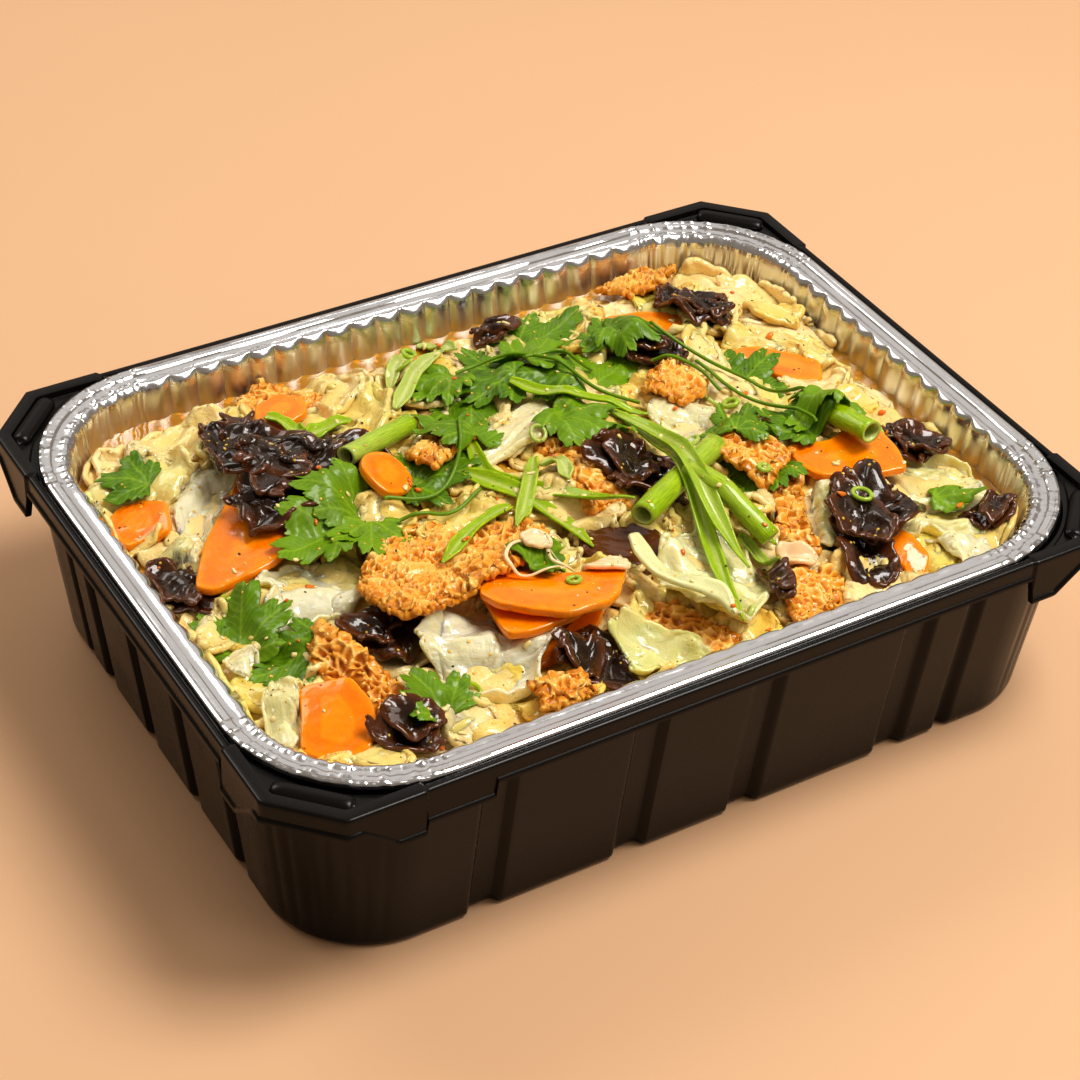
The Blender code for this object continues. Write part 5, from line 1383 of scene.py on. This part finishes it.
def make_heap_core():
    def field(x, y):
        share = (np.abs(x / HEAP_HALF[0]) ** 5 + np.abs(y / HEAP_HALF[1]) ** 5) ** 0.2
        return (1.0 - share) * HEAP_HALF[1] + 2.5 * ripple(x, y, 0.05, 1.0)

    reach = (HEAP_HALF[0] + 5.0, HEAP_HALF[1] + 4.0)
    x, y, depth, triangles, rim = cut_plan(field, reach, HEAP_STEP)
    x, y, _ = keep_inside(x, y)
    relief = 1.6 * rough(x * 0.13, y * 0.13, 5.0, 3) + 1.2 * (0.5 - np.abs(ripple(x, y, 0.09, 2.0, 8)))
    height = heap_top(x, y) + relief - 0.8
    height = np.minimum(height, under_ceiling(x, y))
    height = HEAP_EDGE + (height - HEAP_EDGE) * ease_between(0.0, 4.0, depth)
    points, faces = heap_solid(x, y, height, triangles, rim, HEAP_FOOT, 0.985)
    shade = np.clip(0.55 + 0.5 * ripple(points[:, 0], points[:, 1], 0.05, 3.0), 0.0, 1.0)
    fields = {"plan": np.zeros((len(points), 3)), "tint": np.column_stack((shade, 0.3 * shade, shade * 0))}
    add_part("chopped_cabbage_core", (points, faces, fields), "sauced", "chopped_cabbage", ["cabbage_heap"])
    ground.lay(points[: len(points) // 2])
    ground.settle()


def make_chopped_sheets():
    """Crumpled cut leaves all over the heap, in a jittered grid, each lying on those before it."""
    spots = [
        (x, y) for x in np.arange(-136.0, 137.0, SHEET_GRID[0]) for y in np.arange(-97.0, 98.0, SHEET_GRID[1])
    ]
    random.shuffle(spots)
    parts = []
    for number, (x, y) in enumerate(spots):
        centre = np.array((x, y)) + random.uniform(-SHEET_STRAY, SHEET_STRAY, 2)
        long = random.uniform(19.0, 40.0)
        size = (long, long * random.uniform(0.55, 0.9))
        turn = random.uniform(0.0, 360.0)
        inside = keep_inside(centre[:1], centre[1:], SHEET_HALF)
        centre = np.array((inside[0][0], inside[1][0]))
        yellow = float(np.clip(random.normal(0.34, 0.30), 0.0, 1.0))
        green = float(np.clip(random.normal(0.06, 0.28), 0.0, 0.8))
        slope = random.uniform(0.03, 0.17)
        heading = random.uniform(0.0, 2.0 * math.pi)

        def base(p, q):
            level = np.minimum(ground.draped(p, q, 3) + 0.6, heap_top(p, q) + 4.0)
            return level + slope * ((p - centre[0]) * math.cos(heading) + (q - centre[1]) * math.sin(heading))

        parts.append(cabbage_part(
            base, centre, size, turn, 100 + number, step=SHEET_STEP, fold=0.6, curl=1.2,
            veins=random.uniform(0.1, 0.45), tint=(yellow, green), power=random.uniform(2.0, 3.2),
            half=random.uniform(0.8, 1.7), wobble=0.34, limit=under_ceiling,
        ))
        ground.add(parts[-1])
    third = len(parts) // 3 + 1
    for index in range(3):
        share = join_parts(parts[index * third:(index + 1) * third])
        add_part(f"chopped_cabbage_{index + 1}", share, "chopped", "chopped_cabbage")


# Named pieces: place, length and width, turn in degrees, seed, a shape that isn't its kind's usual one
PIECES = {
    "fungus_left_small": ((-135, 10), (32, 16), -71, 1),
    "cabbage_left_leaf": ((-99, -19), (46, 46), -25, 2),
    "cabbage_left_stem": ((-107, 47), (47, 26), -142, 3),
    "carrot_left_edge": ((-132, 48), (24, 21), -39, 4, "hexagon"),
    "curd_left_back": ((-62, 87), (29, 22), -57, 5),
    "cabbage_right": ((113, -65), (53, 50), -31, 7),
    "carrot_back_right": ((115, 22), (36, 20), -43, 8),
    "carrot_back": ((80, 67), (34, 22), -34, 9, "hexagon"),
    "fungus_back": ((103, 67), (34, 28), -69, 10),
    "fungus_right_back": ((125, -42), (24, 26), -44, 12),
    "cabbage_dome": ((56, 4), (42, 44), -55, 13),
    "curd_centre_back": ((14, 9), (24, 20), -56, 14),
    "curd_centre_front": ((8, -15), (26, 16), -96, 15),
    "fungus_centre": ((23, -18), (32, 28), -60, 16),
    "carrot_third": ((-37, -75), (36, 18), 19, 18),
    "fungus_cup": ((-90, -46), (26, 22), -23, 19),
    "cabbage_front_leaf": ((-66, -69), (50, 46), -22, 20),
    "carrot_centre_low": ((-47, -61), (32, 25), -50, 21, "hexagon"),
    "carrot_centre_top": ((-33, -58), (52, 25), -24, 22),
    "fungus_oval": ((1, -46), (25, 18), -42, 23, "oval"),
    "fungus_front_centre": ((-36, -89), (28, 19), -30, 24),
    "curd_under": ((2, -88), (32, 13), -58, 25),
    "cabbage_right_front": ((-14, -89), (42, 28), -30, 26),
    "cabbage_striped": ((19, -72), (50, 46), -60, 27),
    "carrot_left_blade": ((-106, 22), (64, 31), -133, 28),
    "curd_front_strip": ((-105, -59), (44, 14), -80, 29),
    "carrot_front": ((-121, -72), (33, 29), -114, 30, "hexagon"),
    "fungus_front_low": ((-104, -88), (22, 16), -20, 31),
    "curd_big": ((-62, -32), (68, 36), -7, 32),
    "curd_upright": ((64, -57), (50, 15), -120, 33),
    "curd_right_front": ((46, -90), (26, 22), -40, 34),
    "carrot_right_big": ((95, -43), (46, 25), -32, 35),
    "carrot_right_small": ((88, -90), (18, 13), -98, 36, "hexagon"),
    "fungus_right": ((82, -75), (42, 35), -90, 37),
    "cabbage_centre_stem": ((-7, 20), (44, 17), 11, 38),
    "fungus_left_back": ((-61, 36), (33, 27), -60, 39),
    "fungus_left_big": ((-86, 45), (67, 43), -86, 40),
    "coriander_small_a": ((-126, -18), (30, 26), 57, 41),
    "coriander_small_b": ((-123, -43), (26, 25), 184, 42),
    "coriander_small_c": ((-91, -79), (20, 22), 100, 43),
    "coriander_back": ((46, 79), (35, 26), 12, 44),
    "coriander_middle_a": ((12, 67), (36, 26), 102, 45),
    "coriander_middle_b": ((-6, 45), (30, 26), 240, 46),
    "coriander_middle_c": ((49, 41), (32, 28), 20, 47),
    "coriander_right": ((99, 20), (29, 26), 20, 48),
    "coriander_mid_right": ((60, -35), (25, 25), 200, 49),
    "coriander_top": ((-38, 20), (44, 30), 33, 50),
    "coriander_big": ((-80, 4), (48, 44), 190, 51),
}
CABBAGE_LOOKS = {
    "cabbage_left_leaf": {"tint": (0.0, 0.0), "veins": 0.25},
    "cabbage_left_stem": {"tint": (0.35, 0.05), "veins": 0.3},
    "cabbage_right": {"tint": (0.55, 0.1), "veins": 0.25},
    "cabbage_dome": {"tint": (0.15, 0.15), "veins": 0.35},
    "cabbage_front_leaf": {"tint": (0.0, 0.0), "veins": 0.3},
    "cabbage_right_front": {"tint": (0.25, 0.55), "veins": 0.3},
    "cabbage_striped": {"tint": (0.2, 0.35), "veins": 0.8, "fold": 0.5},
    "cabbage_centre_stem": {
        "tint": (0.1, 0.25), "veins": 0.9, "power": 6.0, "half": 1.5, "wobble": 0.06, "fold": 0.3,
        "curl": 0.2,
    },
}
# Corners of the pieces whose cut shape shows, seen from above
OUTLINES = {
    "carrot_left_blade": (
        (-133, 3), (-121, 21), (-109, 33), (-95, 48), (-89, 51), (-83, 38), (-87, 18), (-94, 6),
        (-107, 0), (-116, -1), (-129, -1),
    ),
    "carrot_left_edge": (
        (-143, 53), (-136, 59), (-129, 56), (-123, 48), (-128, 35), (-135, 36), (-142, 38),
    ),
    "carrot_front": (
        (-125, -57), (-111, -63), (-110, -74), (-112, -82), (-118, -88), (-127, -88), (-135, -77),
        (-129, -67),
    ),
    "carrot_centre_top": (
        (-60, -56), (-54, -49), (-44, -47), (-26, -60), (-9, -57), (-9, -62), (-20, -75), (-26, -79),
        (-40, -79), (-51, -72), (-58, -63),
    ),
    "carrot_centre_low": (
        (-55, -48), (-60, -73), (-53, -76), (-35, -76), (-27, -66), (-34, -50), (-45, -43),
    ),
    "carrot_third": (
        (-53, -81), (-48, -76), (-31, -69), (-21, -68), (-25, -72), (-35, -78), (-48, -81),
    ),
    "carrot_right_big": (
        (79, -29), (94, -34), (103, -31), (112, -27), (113, -39), (113, -48), (111, -57), (101, -55),
        (89, -51), (81, -46), (78, -39),
    ),
    "carrot_back_right": (
        (98, 37), (113, 35), (124, 26), (128, 19), (122, 9), (114, 11), (107, 19), (100, 29),
    ),
    "carrot_back": (
        (69, 78), (85, 75), (96, 67), (91, 56), (82, 52), (74, 58), (67, 68),
    ),
    "carrot_right_small": (
        (85, -83), (91, -80), (93, -85), (94, -93), (87, -99), (84, -98), (85, -92), (81, -89),
    ),
    "curd_big": (
        (-92, -32), (-75, -10), (-62, -6), (-53, -6), (-45, -11), (-39, -21), (-25, -22), (-21, -36),
        (-24, -42), (-37, -48), (-53, -53), (-67, -54), (-81, -56), (-88, -51), (-91, -43),
    ),
    "curd_front_strip": (
        (-108, -36), (-104, -50), (-99, -59), (-97, -71), (-100, -75), (-107, -77), (-108, -72),
        (-107, -62), (-114, -58), (-116, -50), (-113, -40),
    ),
    "curd_upright": (
        (80, -30), (80, -36), (77, -43), (71, -51), (66, -61), (61, -70), (59, -77), (51, -78),
        (51, -70), (54, -60), (60, -51), (62, -44), (71, -39),
    ),
    "curd_right_front": (
        (39, -80), (53, -83), (62, -81), (61, -91), (58, -98), (46, -100), (30, -107), (36, -88),
    ),
    "fungus_left_big": (
        (-94, 77), (-89, 73), (-84, 79), (-76, 78), (-76, 71), (-75, 61), (-63, 48), (-62, 40),
        (-65, 24), (-55, 33), (-54, 28), (-63, 17), (-72, 14), (-82, 15), (-92, 12), (-106, 9),
        (-107, 17), (-111, 24), (-106, 33), (-101, 32), (-94, 37), (-94, 47), (-98, 46), (-94, 58),
        (-96, 69),
    ),
    "fungus_right": (
        (77, -59), (82, -58), (86, -65), (91, -69), (102, -74), (95, -83), (87, -85), (82, -88),
        (79, -93), (82, -99), (78, -103), (69, -102), (62, -89), (60, -81), (65, -75), (72, -69),
    ),
    "cabbage_striped": (
        (1, -60), (9, -55), (26, -47), (38, -59), (40, -77), (27, -95), (12, -102), (1, -92), (-4, -78),
    ),
    "cabbage_right_front": (
        (-33, -83), (-28, -80), (-23, -79), (-21, -77), (-14, -79), (-6, -86), (-1, -91), (2, -99),
        (1, -103), (-8, -101), (-28, -103), (-27, -94), (-30, -88),
    ),
    "cabbage_front_leaf": (
        (-84, -51), (-76, -48), (-56, -49), (-46, -63), (-36, -77), (-47, -79), (-56, -87), (-65, -95),
        (-74, -95), (-80, -85), (-87, -73), (-89, -65),
    ),
    "cabbage_left_leaf": (
        (-115, -4), (-104, 4), (-94, 1), (-87, -13), (-85, -27), (-90, -34), (-100, -35), (-107, -32),
        (-118, -34), (-125, -30), (-122, -17),
    ),
    "cabbage_left_stem": (
        (-123, 47), (-116, 56), (-107, 64), (-96, 68), (-89, 66), (-91, 55), (-102, 42), (-113, 30),
        (-123, 18), (-131, 13), (-133, 20), (-125, 29), (-126, 39),
    ),
    "cabbage_dome": (
        (51, 17), (64, 20), (72, 12), (67, -8), (60, -20), (46, -26), (41, -20), (44, 0),
    ),
    "cabbage_centre_stem": (
        (-25, 22), (-16, 28), (-1, 33), (11, 38), (20, 35), (12, 21), (5, 12), (-4, 16), (-12, 15),
        (-26, 11),
    ),
}
# How far a piece is moved up from its node's middle
RISES = {"cabbage_right_front": 0.9, "fungus_front_centre": -0.6}
SLOTS = {
    "cabbage": "cabbage", "carrot": "carrot", "curd": "bean_curd", "fungus": "wood_ear",
    "leaf": "coriander",
}
CARROT_CUT = 0.12
SOFT_CUT = 0.22


def food_part(kind, looks, corners, base, centre, size, turn, seed, shape=""):
    cut = Cut(corners, centre, turn, CARROT_CUT if kind == "carrot" else SOFT_CUT) if corners else None
    if kind == "fungus":
        if shape == "oval":
            return cabbage_part(
                base, centre, size, turn, seed, step=0.6, fold=0.25, curl=-0.5, veins=0.0, half=2.2,
            )
        return fungus_part(base, centre, size, turn, seed, 3 if min(size) > THREE_LAYERS else 2, cut)
    if kind == "carrot":
        return carrot_part(base, centre, size, turn, seed, shape == "hexagon", cut)
    if kind == "curd":
        return curd_part(base, centre, size, turn, seed, cut)
    if kind == "cabbage":
        return cabbage_part(base, centre, size, turn, seed, cut=cut, **looks)
    return leaf_part(base, centre, size, turn, seed)


def make_named_pieces():
    for name, row in PIECES.items():
        kind = name.split("_")[0].replace("coriander", "leaf")
        looks = {"step": 0.7, **CABBAGE_LOOKS.get(name, {})}

        def base(x, y):
            return RESTS[name].middle(x, y) + RISES.get(name, 0.0)

        part = food_part(kind, looks, OUTLINES.get(name), base, *row)
        add_part(f"{name}_piece", part, kind, SLOTS[kind], [name])
        ground.lay(part[0])
    ground.settle()


# Spring onion, lowest first: kind, route, width or tube diameter, how pale it is
ONIONS = {
    "onion_tube_left": ("tube", ((-65, 28), (-49, 35), (-33, 42)), 8.0, 0.2),
    "onion_tube_thick": ("tube", ((54, -21), (30, -34), (7, -47)), 9.0, 0.1),
    "onion_stick": ("tube", ((98, -13), (101, -29), (103, -45)), 9.0, 0.0),
    "onion_curl": ("curl", ((0, -53), (-1, -64), (1, -80), (7, -93), (7, -102)), 4.6, 1.0),
    "onion_blade_long": ("blade", ((14, 48), (28, 33), (38, 5), (35, -21), (24, -66), (12, -101)), 5.2, 0.0),
    "onion_blade_cross": ("blade", ((33, 15), (38, -6), (33, -37), (30, -60), (29, -79)), 5.6, 0.05),
    "onion_blade_upper": ("blade", ((-20, 23), (-22, 8), (-17, -1), (-4, -19), (6, -43)), 5.6, 0.0),
    "onion_blade_lower": ("blade", ((-29, 9), (-18, -9), (-11, -29), (-10, -44)), 6.6, 0.0),
}


def make_onions():
    for index, (name, (kind, stops, width, pale)) in enumerate(ONIONS.items()):
        rest = RESTS[name]
        route = curve_through(stops, STALK_POINTS if kind == "tube" else BLADE_POINTS)
        height = rest.middle(route[:, 0], route[:, 1])
        if kind == "tube":
            height = np.linspace(height[1:4].mean(), height[-4:-1].mean(), len(route))
            part = stalk_part(np.column_stack((route, height)), width / 2.0, 60 + index, pale=pale)
        else:
            for _ in range(6):
                height[1:-1] = (height[:-2] + 2 * height[1:-1] + height[2:]) / 4.0
            curl = kind == "curl"
            part = blade_part(
                np.column_stack((route, height + 1.2 * curl)), width, 60 + index, cup=0.3 if curl else 1.0,
                half=1.2 if curl else 0.42, pale=pale, twist=0.35,
            )
        add_part(f"{name}_piece", part, "onion", "onion_white" if kind == "curl" else "spring_onion", [name])
        ground.add(part)


# Smaller pieces with no node of their own, in the same order of values
EXTRAS = {
    "fungus": (
        ((70, 42), (20, 20), 10, 81), ((29, 88), (18, 17), 70, 82), ((126, -87), (18, 15), 30, 83),
        ((36, -89), (20, 8), -103, 84),
    ),
    "carrot": (
        ((-67, 74), (18, 16), 20, 85, "hexagon"), ((-56, 16), (18, 16), 60, 86),
    ),
    "curd": (
        ((64, 20), (20, 18), 30, 87), ((64, -29), (24, 20), -60, 88), ((-31, 23), (22, 14), 20, 89),
        ((94, 92), (24, 18), 10, 90), ((-54, -98), (17, 10), -10, 91),
    ),
    "cabbage": (
        ((-115, 30), (46, 14), -140, 92), ((70, -62), (32, 14), -110, 93),
        ((-135, 22), (18, 11), 0, 94), ((-134, -63), (24, 14), -109, 95),
        ((-135, -36), (13, 12), 0, 96), ((109, -84), (48, 21), -91, 97),
    ),
    "leaf": (
        ((72, -12), (26, 20), 40, 101), ((86, -19), (24, 18), 120, 102),
        ((98, -20), (30, 18), 200, 103), ((22, 45), (26, 20), 160, 104), ((23, 9), (34, 24), -57, 105),
        ((60, 60), (22, 20), 70, 106), ((-130, 69), (20, 20), 140, 107),
        ((121, -74), (18, 12), -30, 108), ((-31, -48), (20, 16), 20, 109),
        ((-22, 33), (30, 24), 100, 111), ((2, 56), (30, 24), 150, 112), ((32, 62), (30, 24), 30, 113),
        ((-14, 60), (24, 20), 200, 114), ((66, 50), (24, 20), 310, 115),
    ),
}
# How far above the ground the middle of a piece lies
EXTRA_LIFTS = {"carrot": 1.8, "curd": 1.6, "fungus": 0.4, "cabbage": 0.8, "leaf": 0.5}


def make_extras(kinds):
    looks = {"step": 0.8, "tint": (0.5, 0.1), "limit": under_ceiling}
    for kind in kinds:

        def base(x, y):
            level = ground.stiff(x, y) if kind in ("carrot", "curd") else ground.draped(x, y, 4)
            return level + EXTRA_LIFTS[kind]

        parts = []
        for row in EXTRAS[kind]:
            parts.append(food_part(kind, looks, None, base, *row))
            ground.add(parts[-1])
        add_part(f"{kind}_bits", join_parts(parts), kind, SLOTS[kind])


# Onion shreds: route, width, how pale. Herb stems: route. Sticks: route, radius.
SHREDS = (
    (((-25, -15), (-43, -22), (-62, -34)), 4.8, 0.0), (((-2, 8), (-15, -10), (-31, -29)), 4.8, 0.1),
    (((-65, 57), (-47, 59)), 6.5, 0.0), (((-74, 71), (-66, 57)), 5.6, 0.0),
    (((4, 103), (8, 100), (10, 84)), 4.8, 0.3), (((-23, 74), (-12, 88), (0, 99)), 4.8, 0.35),
    (((-32, 53), (-12, 72), (4, 83)), 5.2, 0.3), (((38, -61), (40, -72), (39, -82)), 3.5, 0.1),
    (((10, 45), (22, 31), (32, 21), (46, 10)), 4.8, 0.0), (((43, -37), (45, -53), (48, -68)), 4.8, 0.0),
    (((-4, 0), (0, -6), (-2, -15)), 4.8, 0.3),
)
STEMS = (
    ((70, 47), (82, 30), (89, 15), (92, 0), (95, -15)), ((64, 35), (73, 24), (78, 11)),
    ((-29, -2), (-44, -6), (-61, -3)), ((-4, 60), (14, 58), (29, 45), (37, 29), (48, 18)),
    ((80, 30), (81, 12), (86, -10), (92, -28)), ((-62, 6), (-44, 3), (-30, 12), (-22, 26)),
    ((20, 52), (32, 50), (44, 44)),
)
STEM_RADIUS = 0.68
SHRED_CEILING = 90.5
STICKS = ((((33, -35), (38, -52), (44, -70)), 3.9),)


def bridged(stops, rounds):
    """A route over the food and its heights, which bridge the dips more with every round."""
    route = curve_through(stops, SHRED_POINTS)
    height = ground.draped(route[:, 0], route[:, 1], 4)
    for _ in range(rounds):
        height[1:-1] = np.maximum(height[1:-1], (height[:-2] + height[2:]) / 2.0)
    return route, height


def make_shreds_and_stems():
    parts = []
    for index, (stops, width, pale) in enumerate(SHREDS):
        route, height = bridged(stops, 10)
        path = np.column_stack((route, np.minimum(height, SHRED_CEILING) + 0.9))
        parts.append(blade_part(path, width, 160 + index, pale=pale, twist=0.3))
        ground.add(parts[-1])
    for index, (stops, radius) in enumerate(STICKS):
        route = curve_through(stops, STALK_POINTS)
        height = ground.draped(route[:, 0], route[:, 1], 4)
        height = np.linspace(height[:5].max(), height[-5:].max(), len(route)) + 0.6 * radius
        height = np.minimum(height, SHRED_CEILING - radius)
        parts.append(stalk_part(np.column_stack((route, height)), radius, 180 + index, pale=0.1))
        ground.add(parts[-1])
    add_part("onion_shreds", join_parts(parts), "onion", "spring_onion")
    parts = []
    for stops in STEMS:
        route, height = bridged(stops, 30)
        points, faces, _ = tube(np.column_stack((route, height + 0.8)), STEM_RADIUS, 10)
        blank = np.zeros((len(points), 3))
        parts.append((points, faces, {"plan": blank, "tint": blank + (0.4, 0.0, 0.0)}))
    add_part("herb_stems", join_parts(parts), "leaf", "coriander")


# Loops of pink onion: middle, half length and half width, turn. Petals: middle, size, turn, seed.
PINK_LOOPS = (((-37, -52), (10.5, 7.0), -10), ((-24, -48), (7.0, 5.5), 30))
PINK_PETALS = (
    ((-15, -60), (17, 7), -20, 191), ((50, -78), (14, 10), -40, 192), ((-33, -45), (10, 8), 20, 193),
)


def make_pink_onion():
    parts = []
    for centre, half, turn in PINK_LOOPS:
        angle = np.linspace(0.2, 5.9, 48)
        x, y = turned(half[0] * np.cos(angle), half[1] * np.sin(angle), centre, turn)
        path = np.column_stack((x, y, ground.draped(x, y, 3) + 0.9))
        thick = 0.75 * np.sin(np.clip(np.linspace(0.1, math.pi - 0.1, 48), 0.35, math.pi - 0.35))
        parts.append(tube(path, thick, 8, 0.7))
    for centre, size, turn, seed in PINK_PETALS:
        points, faces, fields = cabbage_part(
            lambda p, q: ground.draped(p, q, 3) + 1.0, centre, size, turn, seed, step=0.6, fold=0.3, curl=0.8,
            veins=0.3, half=0.9,
        )
        parts.append((points, faces, {"plan": fields["plan"]}))
    add_part("pink_onion_bits", join_parts(parts), "pink", "onion_white")


def unit_ball():
    ball = bmesh.new()
    bmesh.ops.create_icosphere(ball, subdivisions=2, radius=1.0)
    points = np.array([corner.co[:] for corner in ball.verts])
    faces = np.array([[corner.index for corner in face.verts] for face in ball.faces])
    ball.free()
    return points, faces


def level_with(facing, generator):
    """Two directions in the surface, turned at random."""
    along = np.cross(facing, generator.normal(size=3))
    along /= np.linalg.norm(along)
    return along, np.cross(facing, along)


def find_seats(count, seed):
    """Spots on top of the food and the directions that its surface faces there."""
    bpy.context.view_layer.update()
    generator = np.random.default_rng(seed)
    seats = []
    while len(seats) < count:
        x, y = generator.uniform(-FOOD_HALF[0], FOOD_HALF[0]), generator.uniform(-FOOD_HALF[1], FOOD_HALF[1])
        if keep_inside(np.array((x,)), np.array((y,)), (FOOD_HALF[0] - 2.0, FOOD_HALF[1] - 2.0))[2][0] > 0:
            continue
        best = None
        for piece in laid:
            hit, spot, facing, _ = piece.ray_cast((x * MM, y * MM, 0.13), (0.0, 0.0, -1.0))
            if hit and (best is None or spot.z > best[0].z):
                best = spot, facing
        if best and best[1].z > 0.4:
            seats.append((np.array(best[0]) / MM, np.array(best[1])))
    return seats


def scatter(name, kind, slot, count, seed, sizes, squash, uneven):
    """Grains on the food as one piece: balls squashed and sunk along the surface's normal."""
    generator = np.random.default_rng(seed)
    ball, ball_faces = unit_ball()
    points = []
    for spot, facing in find_seats(count, seed + 1):
        size = 0.5 * generator.uniform(*sizes) * generator.uniform(0.7, 1.0)
        along, across = level_with(facing, generator)
        places = ball * 1.3 + (0.0, 0.0, 7.0 * len(points))
        lumps = 1.0 + uneven * noise(*places.T, seed)
        long = size * generator.uniform(1.0, 1.0 + uneven * 2.0)
        grain = ball * lumps[:, None] * (long, size, size * squash)
        middle = spot + facing * size * squash * (1.0 - 2.0 * GRAIN_SINK)
        points.append(middle + grain @ np.array((along, across, facing)))
    faces = np.concatenate([ball_faces + number * len(ball) for number in range(len(points))])
    add_part(name, (np.concatenate(points), [faces], {}), kind, slot)


def make_onion_rings():
    """Small cut rings of green onion."""
    generator = np.random.default_rng(71)
    parts = []
    for spot, facing in find_seats(16, 72):
        along, across = level_with(facing, generator)
        radius = generator.uniform(2.3, 3.6)
        angle = np.linspace(0.0, 2.0 * math.pi, 25)
        loop = np.outer(np.cos(angle) * radius, along) + np.outer(np.sin(angle) * radius * 0.8, across)
        points, faces, fields = tube(spot + facing * 0.7 + loop, generator.uniform(0.7, 1.0), 7)
        fields["tint"] = np.full((len(points), 3), generator.uniform(0.0, 0.45))
        parts.append((points, faces, fields))
    add_part("onion_rings", join_parts(parts), "onion", "spring_onion")


# Grains: material, slot, count, seed, least and largest width, squash, how uneven
GRAINS = {
    "garlic_bits": ("garlic", "onion_white", 100, 31, (1.0, 2.3), 0.6, 0.5),
    "carrot_crumbs": ("crumb", "carrot", 50, 33, (1.0, 2.6), 0.7, 0.5),
    "oil_beads": ("oil", "broth", 700, 35, (0.5, 1.5), 0.4, 0.05),
    "pepper_specks": ("pepper", None, 190, 37, (0.45, 0.85), 0.6, 0.4),
}
GRAIN_SINK = 0.3


def make_crumbs():
    make_onion_rings()
    for name, row in GRAINS.items():
        scatter(name, *row)


# Floor, camera and lights

# Azimuth, elevation and roll in degrees
CAMERA_ANGLES = (-32.689, 38.371, 3.098)
CAMERA_PLACE = (-0.40476, -0.62636, 0.63284)
CAMERA_LENS = 89.78
LIGHT_TARGET = (0.0, 0.0, 0.05)
# Place, length and width, power, colour
LIGHTS = {
    "key": ((0.55, -0.30, 1.35), (0.65, 0.65), 18.0, (1.0, 0.97, 0.93)),
    "rim": ((-0.35, 0.85, 1.0), (0.7, 0.5), 4.0, (1.0, 0.97, 0.93)),
    "panel": ((0.80, 1.25, 1.30), (1.8, 1.3), 2.9, (1.0, 0.97, 0.95)),
    "front": ((0.55, -0.85, 0.95), (0.5, 0.3), 1.6, (1.0, 0.97, 0.93)),
}
SKY_COLOUR = (1.0, 0.86, 0.70, 1.0)
SKY_STRENGTH = 0.24
FLOOR_HALF = 6


def make_floor():
    mesh = bpy.data.meshes.new("floor")
    corners = [(x * FLOOR_HALF, y * FLOOR_HALF, 0) for x, y in ((-1, -1), (1, -1), (1, 1), (-1, 1))]
    mesh.from_pydata(corners, [], [(0, 1, 2, 3)])
    paint = Paint("pale_floor", Roughness=0.75)
    paler = [1.03 * value for value in LIGHT_FLOOR]
    paint.feed("Base Color", paint.mix(paint.grain(6.0), LIGHT_FLOOR, paler))
    mesh.materials.append(paint.material)
    link("floor", mesh)


def make_camera():
    azimuth, elevation, roll = (math.radians(angle) for angle in CAMERA_ANGLES)
    level = math.cos(elevation)
    back = Vector((math.sin(azimuth) * level, -math.cos(azimuth) * level, math.sin(elevation)))
    sideways = Vector((math.cos(azimuth), math.sin(azimuth), 0.0))
    upright = back.cross(sideways)
    right = math.cos(roll) * sideways + math.sin(roll) * upright
    up = math.cos(roll) * upright - math.sin(roll) * sideways
    camera = link("camera", bpy.data.cameras.new("camera"))
    camera.data.sensor_width = 36.0
    camera.data.lens = CAMERA_LENS
    camera.data.clip_start = 0.01
    rows = [(right[axis], up[axis], back[axis], CAMERA_PLACE[axis]) for axis in range(3)]
    camera.matrix_world = Matrix((*rows, (0.0, 0.0, 0.0, 1.0)))
    bpy.context.scene.camera = camera


def make_lights():
    world = bpy.data.worlds.new("studio")
    bpy.context.scene.world = world
    world.use_nodes = True
    sky = world.node_tree.nodes["Background"]
    sky.inputs["Color"].default_value = SKY_COLOUR
    sky.inputs["Strength"].default_value = SKY_STRENGTH
    for name, (place, size, power, colour) in LIGHTS.items():
        light = bpy.data.lights.new(name, "AREA")
        light.shape = "RECTANGLE"
        light.size, light.size_y = size
        light.energy = power
        light.color = colour
        lamp = link(name, light)
        lamp.location = place
        lamp.rotation_euler = (Vector(LIGHT_TARGET) - Vector(place)).to_track_quat("-Z", "Y").to_euler()


def main():
    bpy.context.scene.view_settings.view_transform = "Standard"
    bpy.context.scene.view_settings.look = "Medium High Contrast"
    make_outer_tray()
    make_foil_tray()
    make_broth()
    ground.settle()
    make_heap_core()
    make_chopped_sheets()
    make_extras(["cabbage"])
    make_named_pieces()
    make_onions()
    make_extras(["fungus", "carrot", "curd", "leaf"])
    make_shreds_and_stems()
    make_pink_onion()
    make_crumbs()
    make_floor()
    make_camera()
    make_lights()


main()
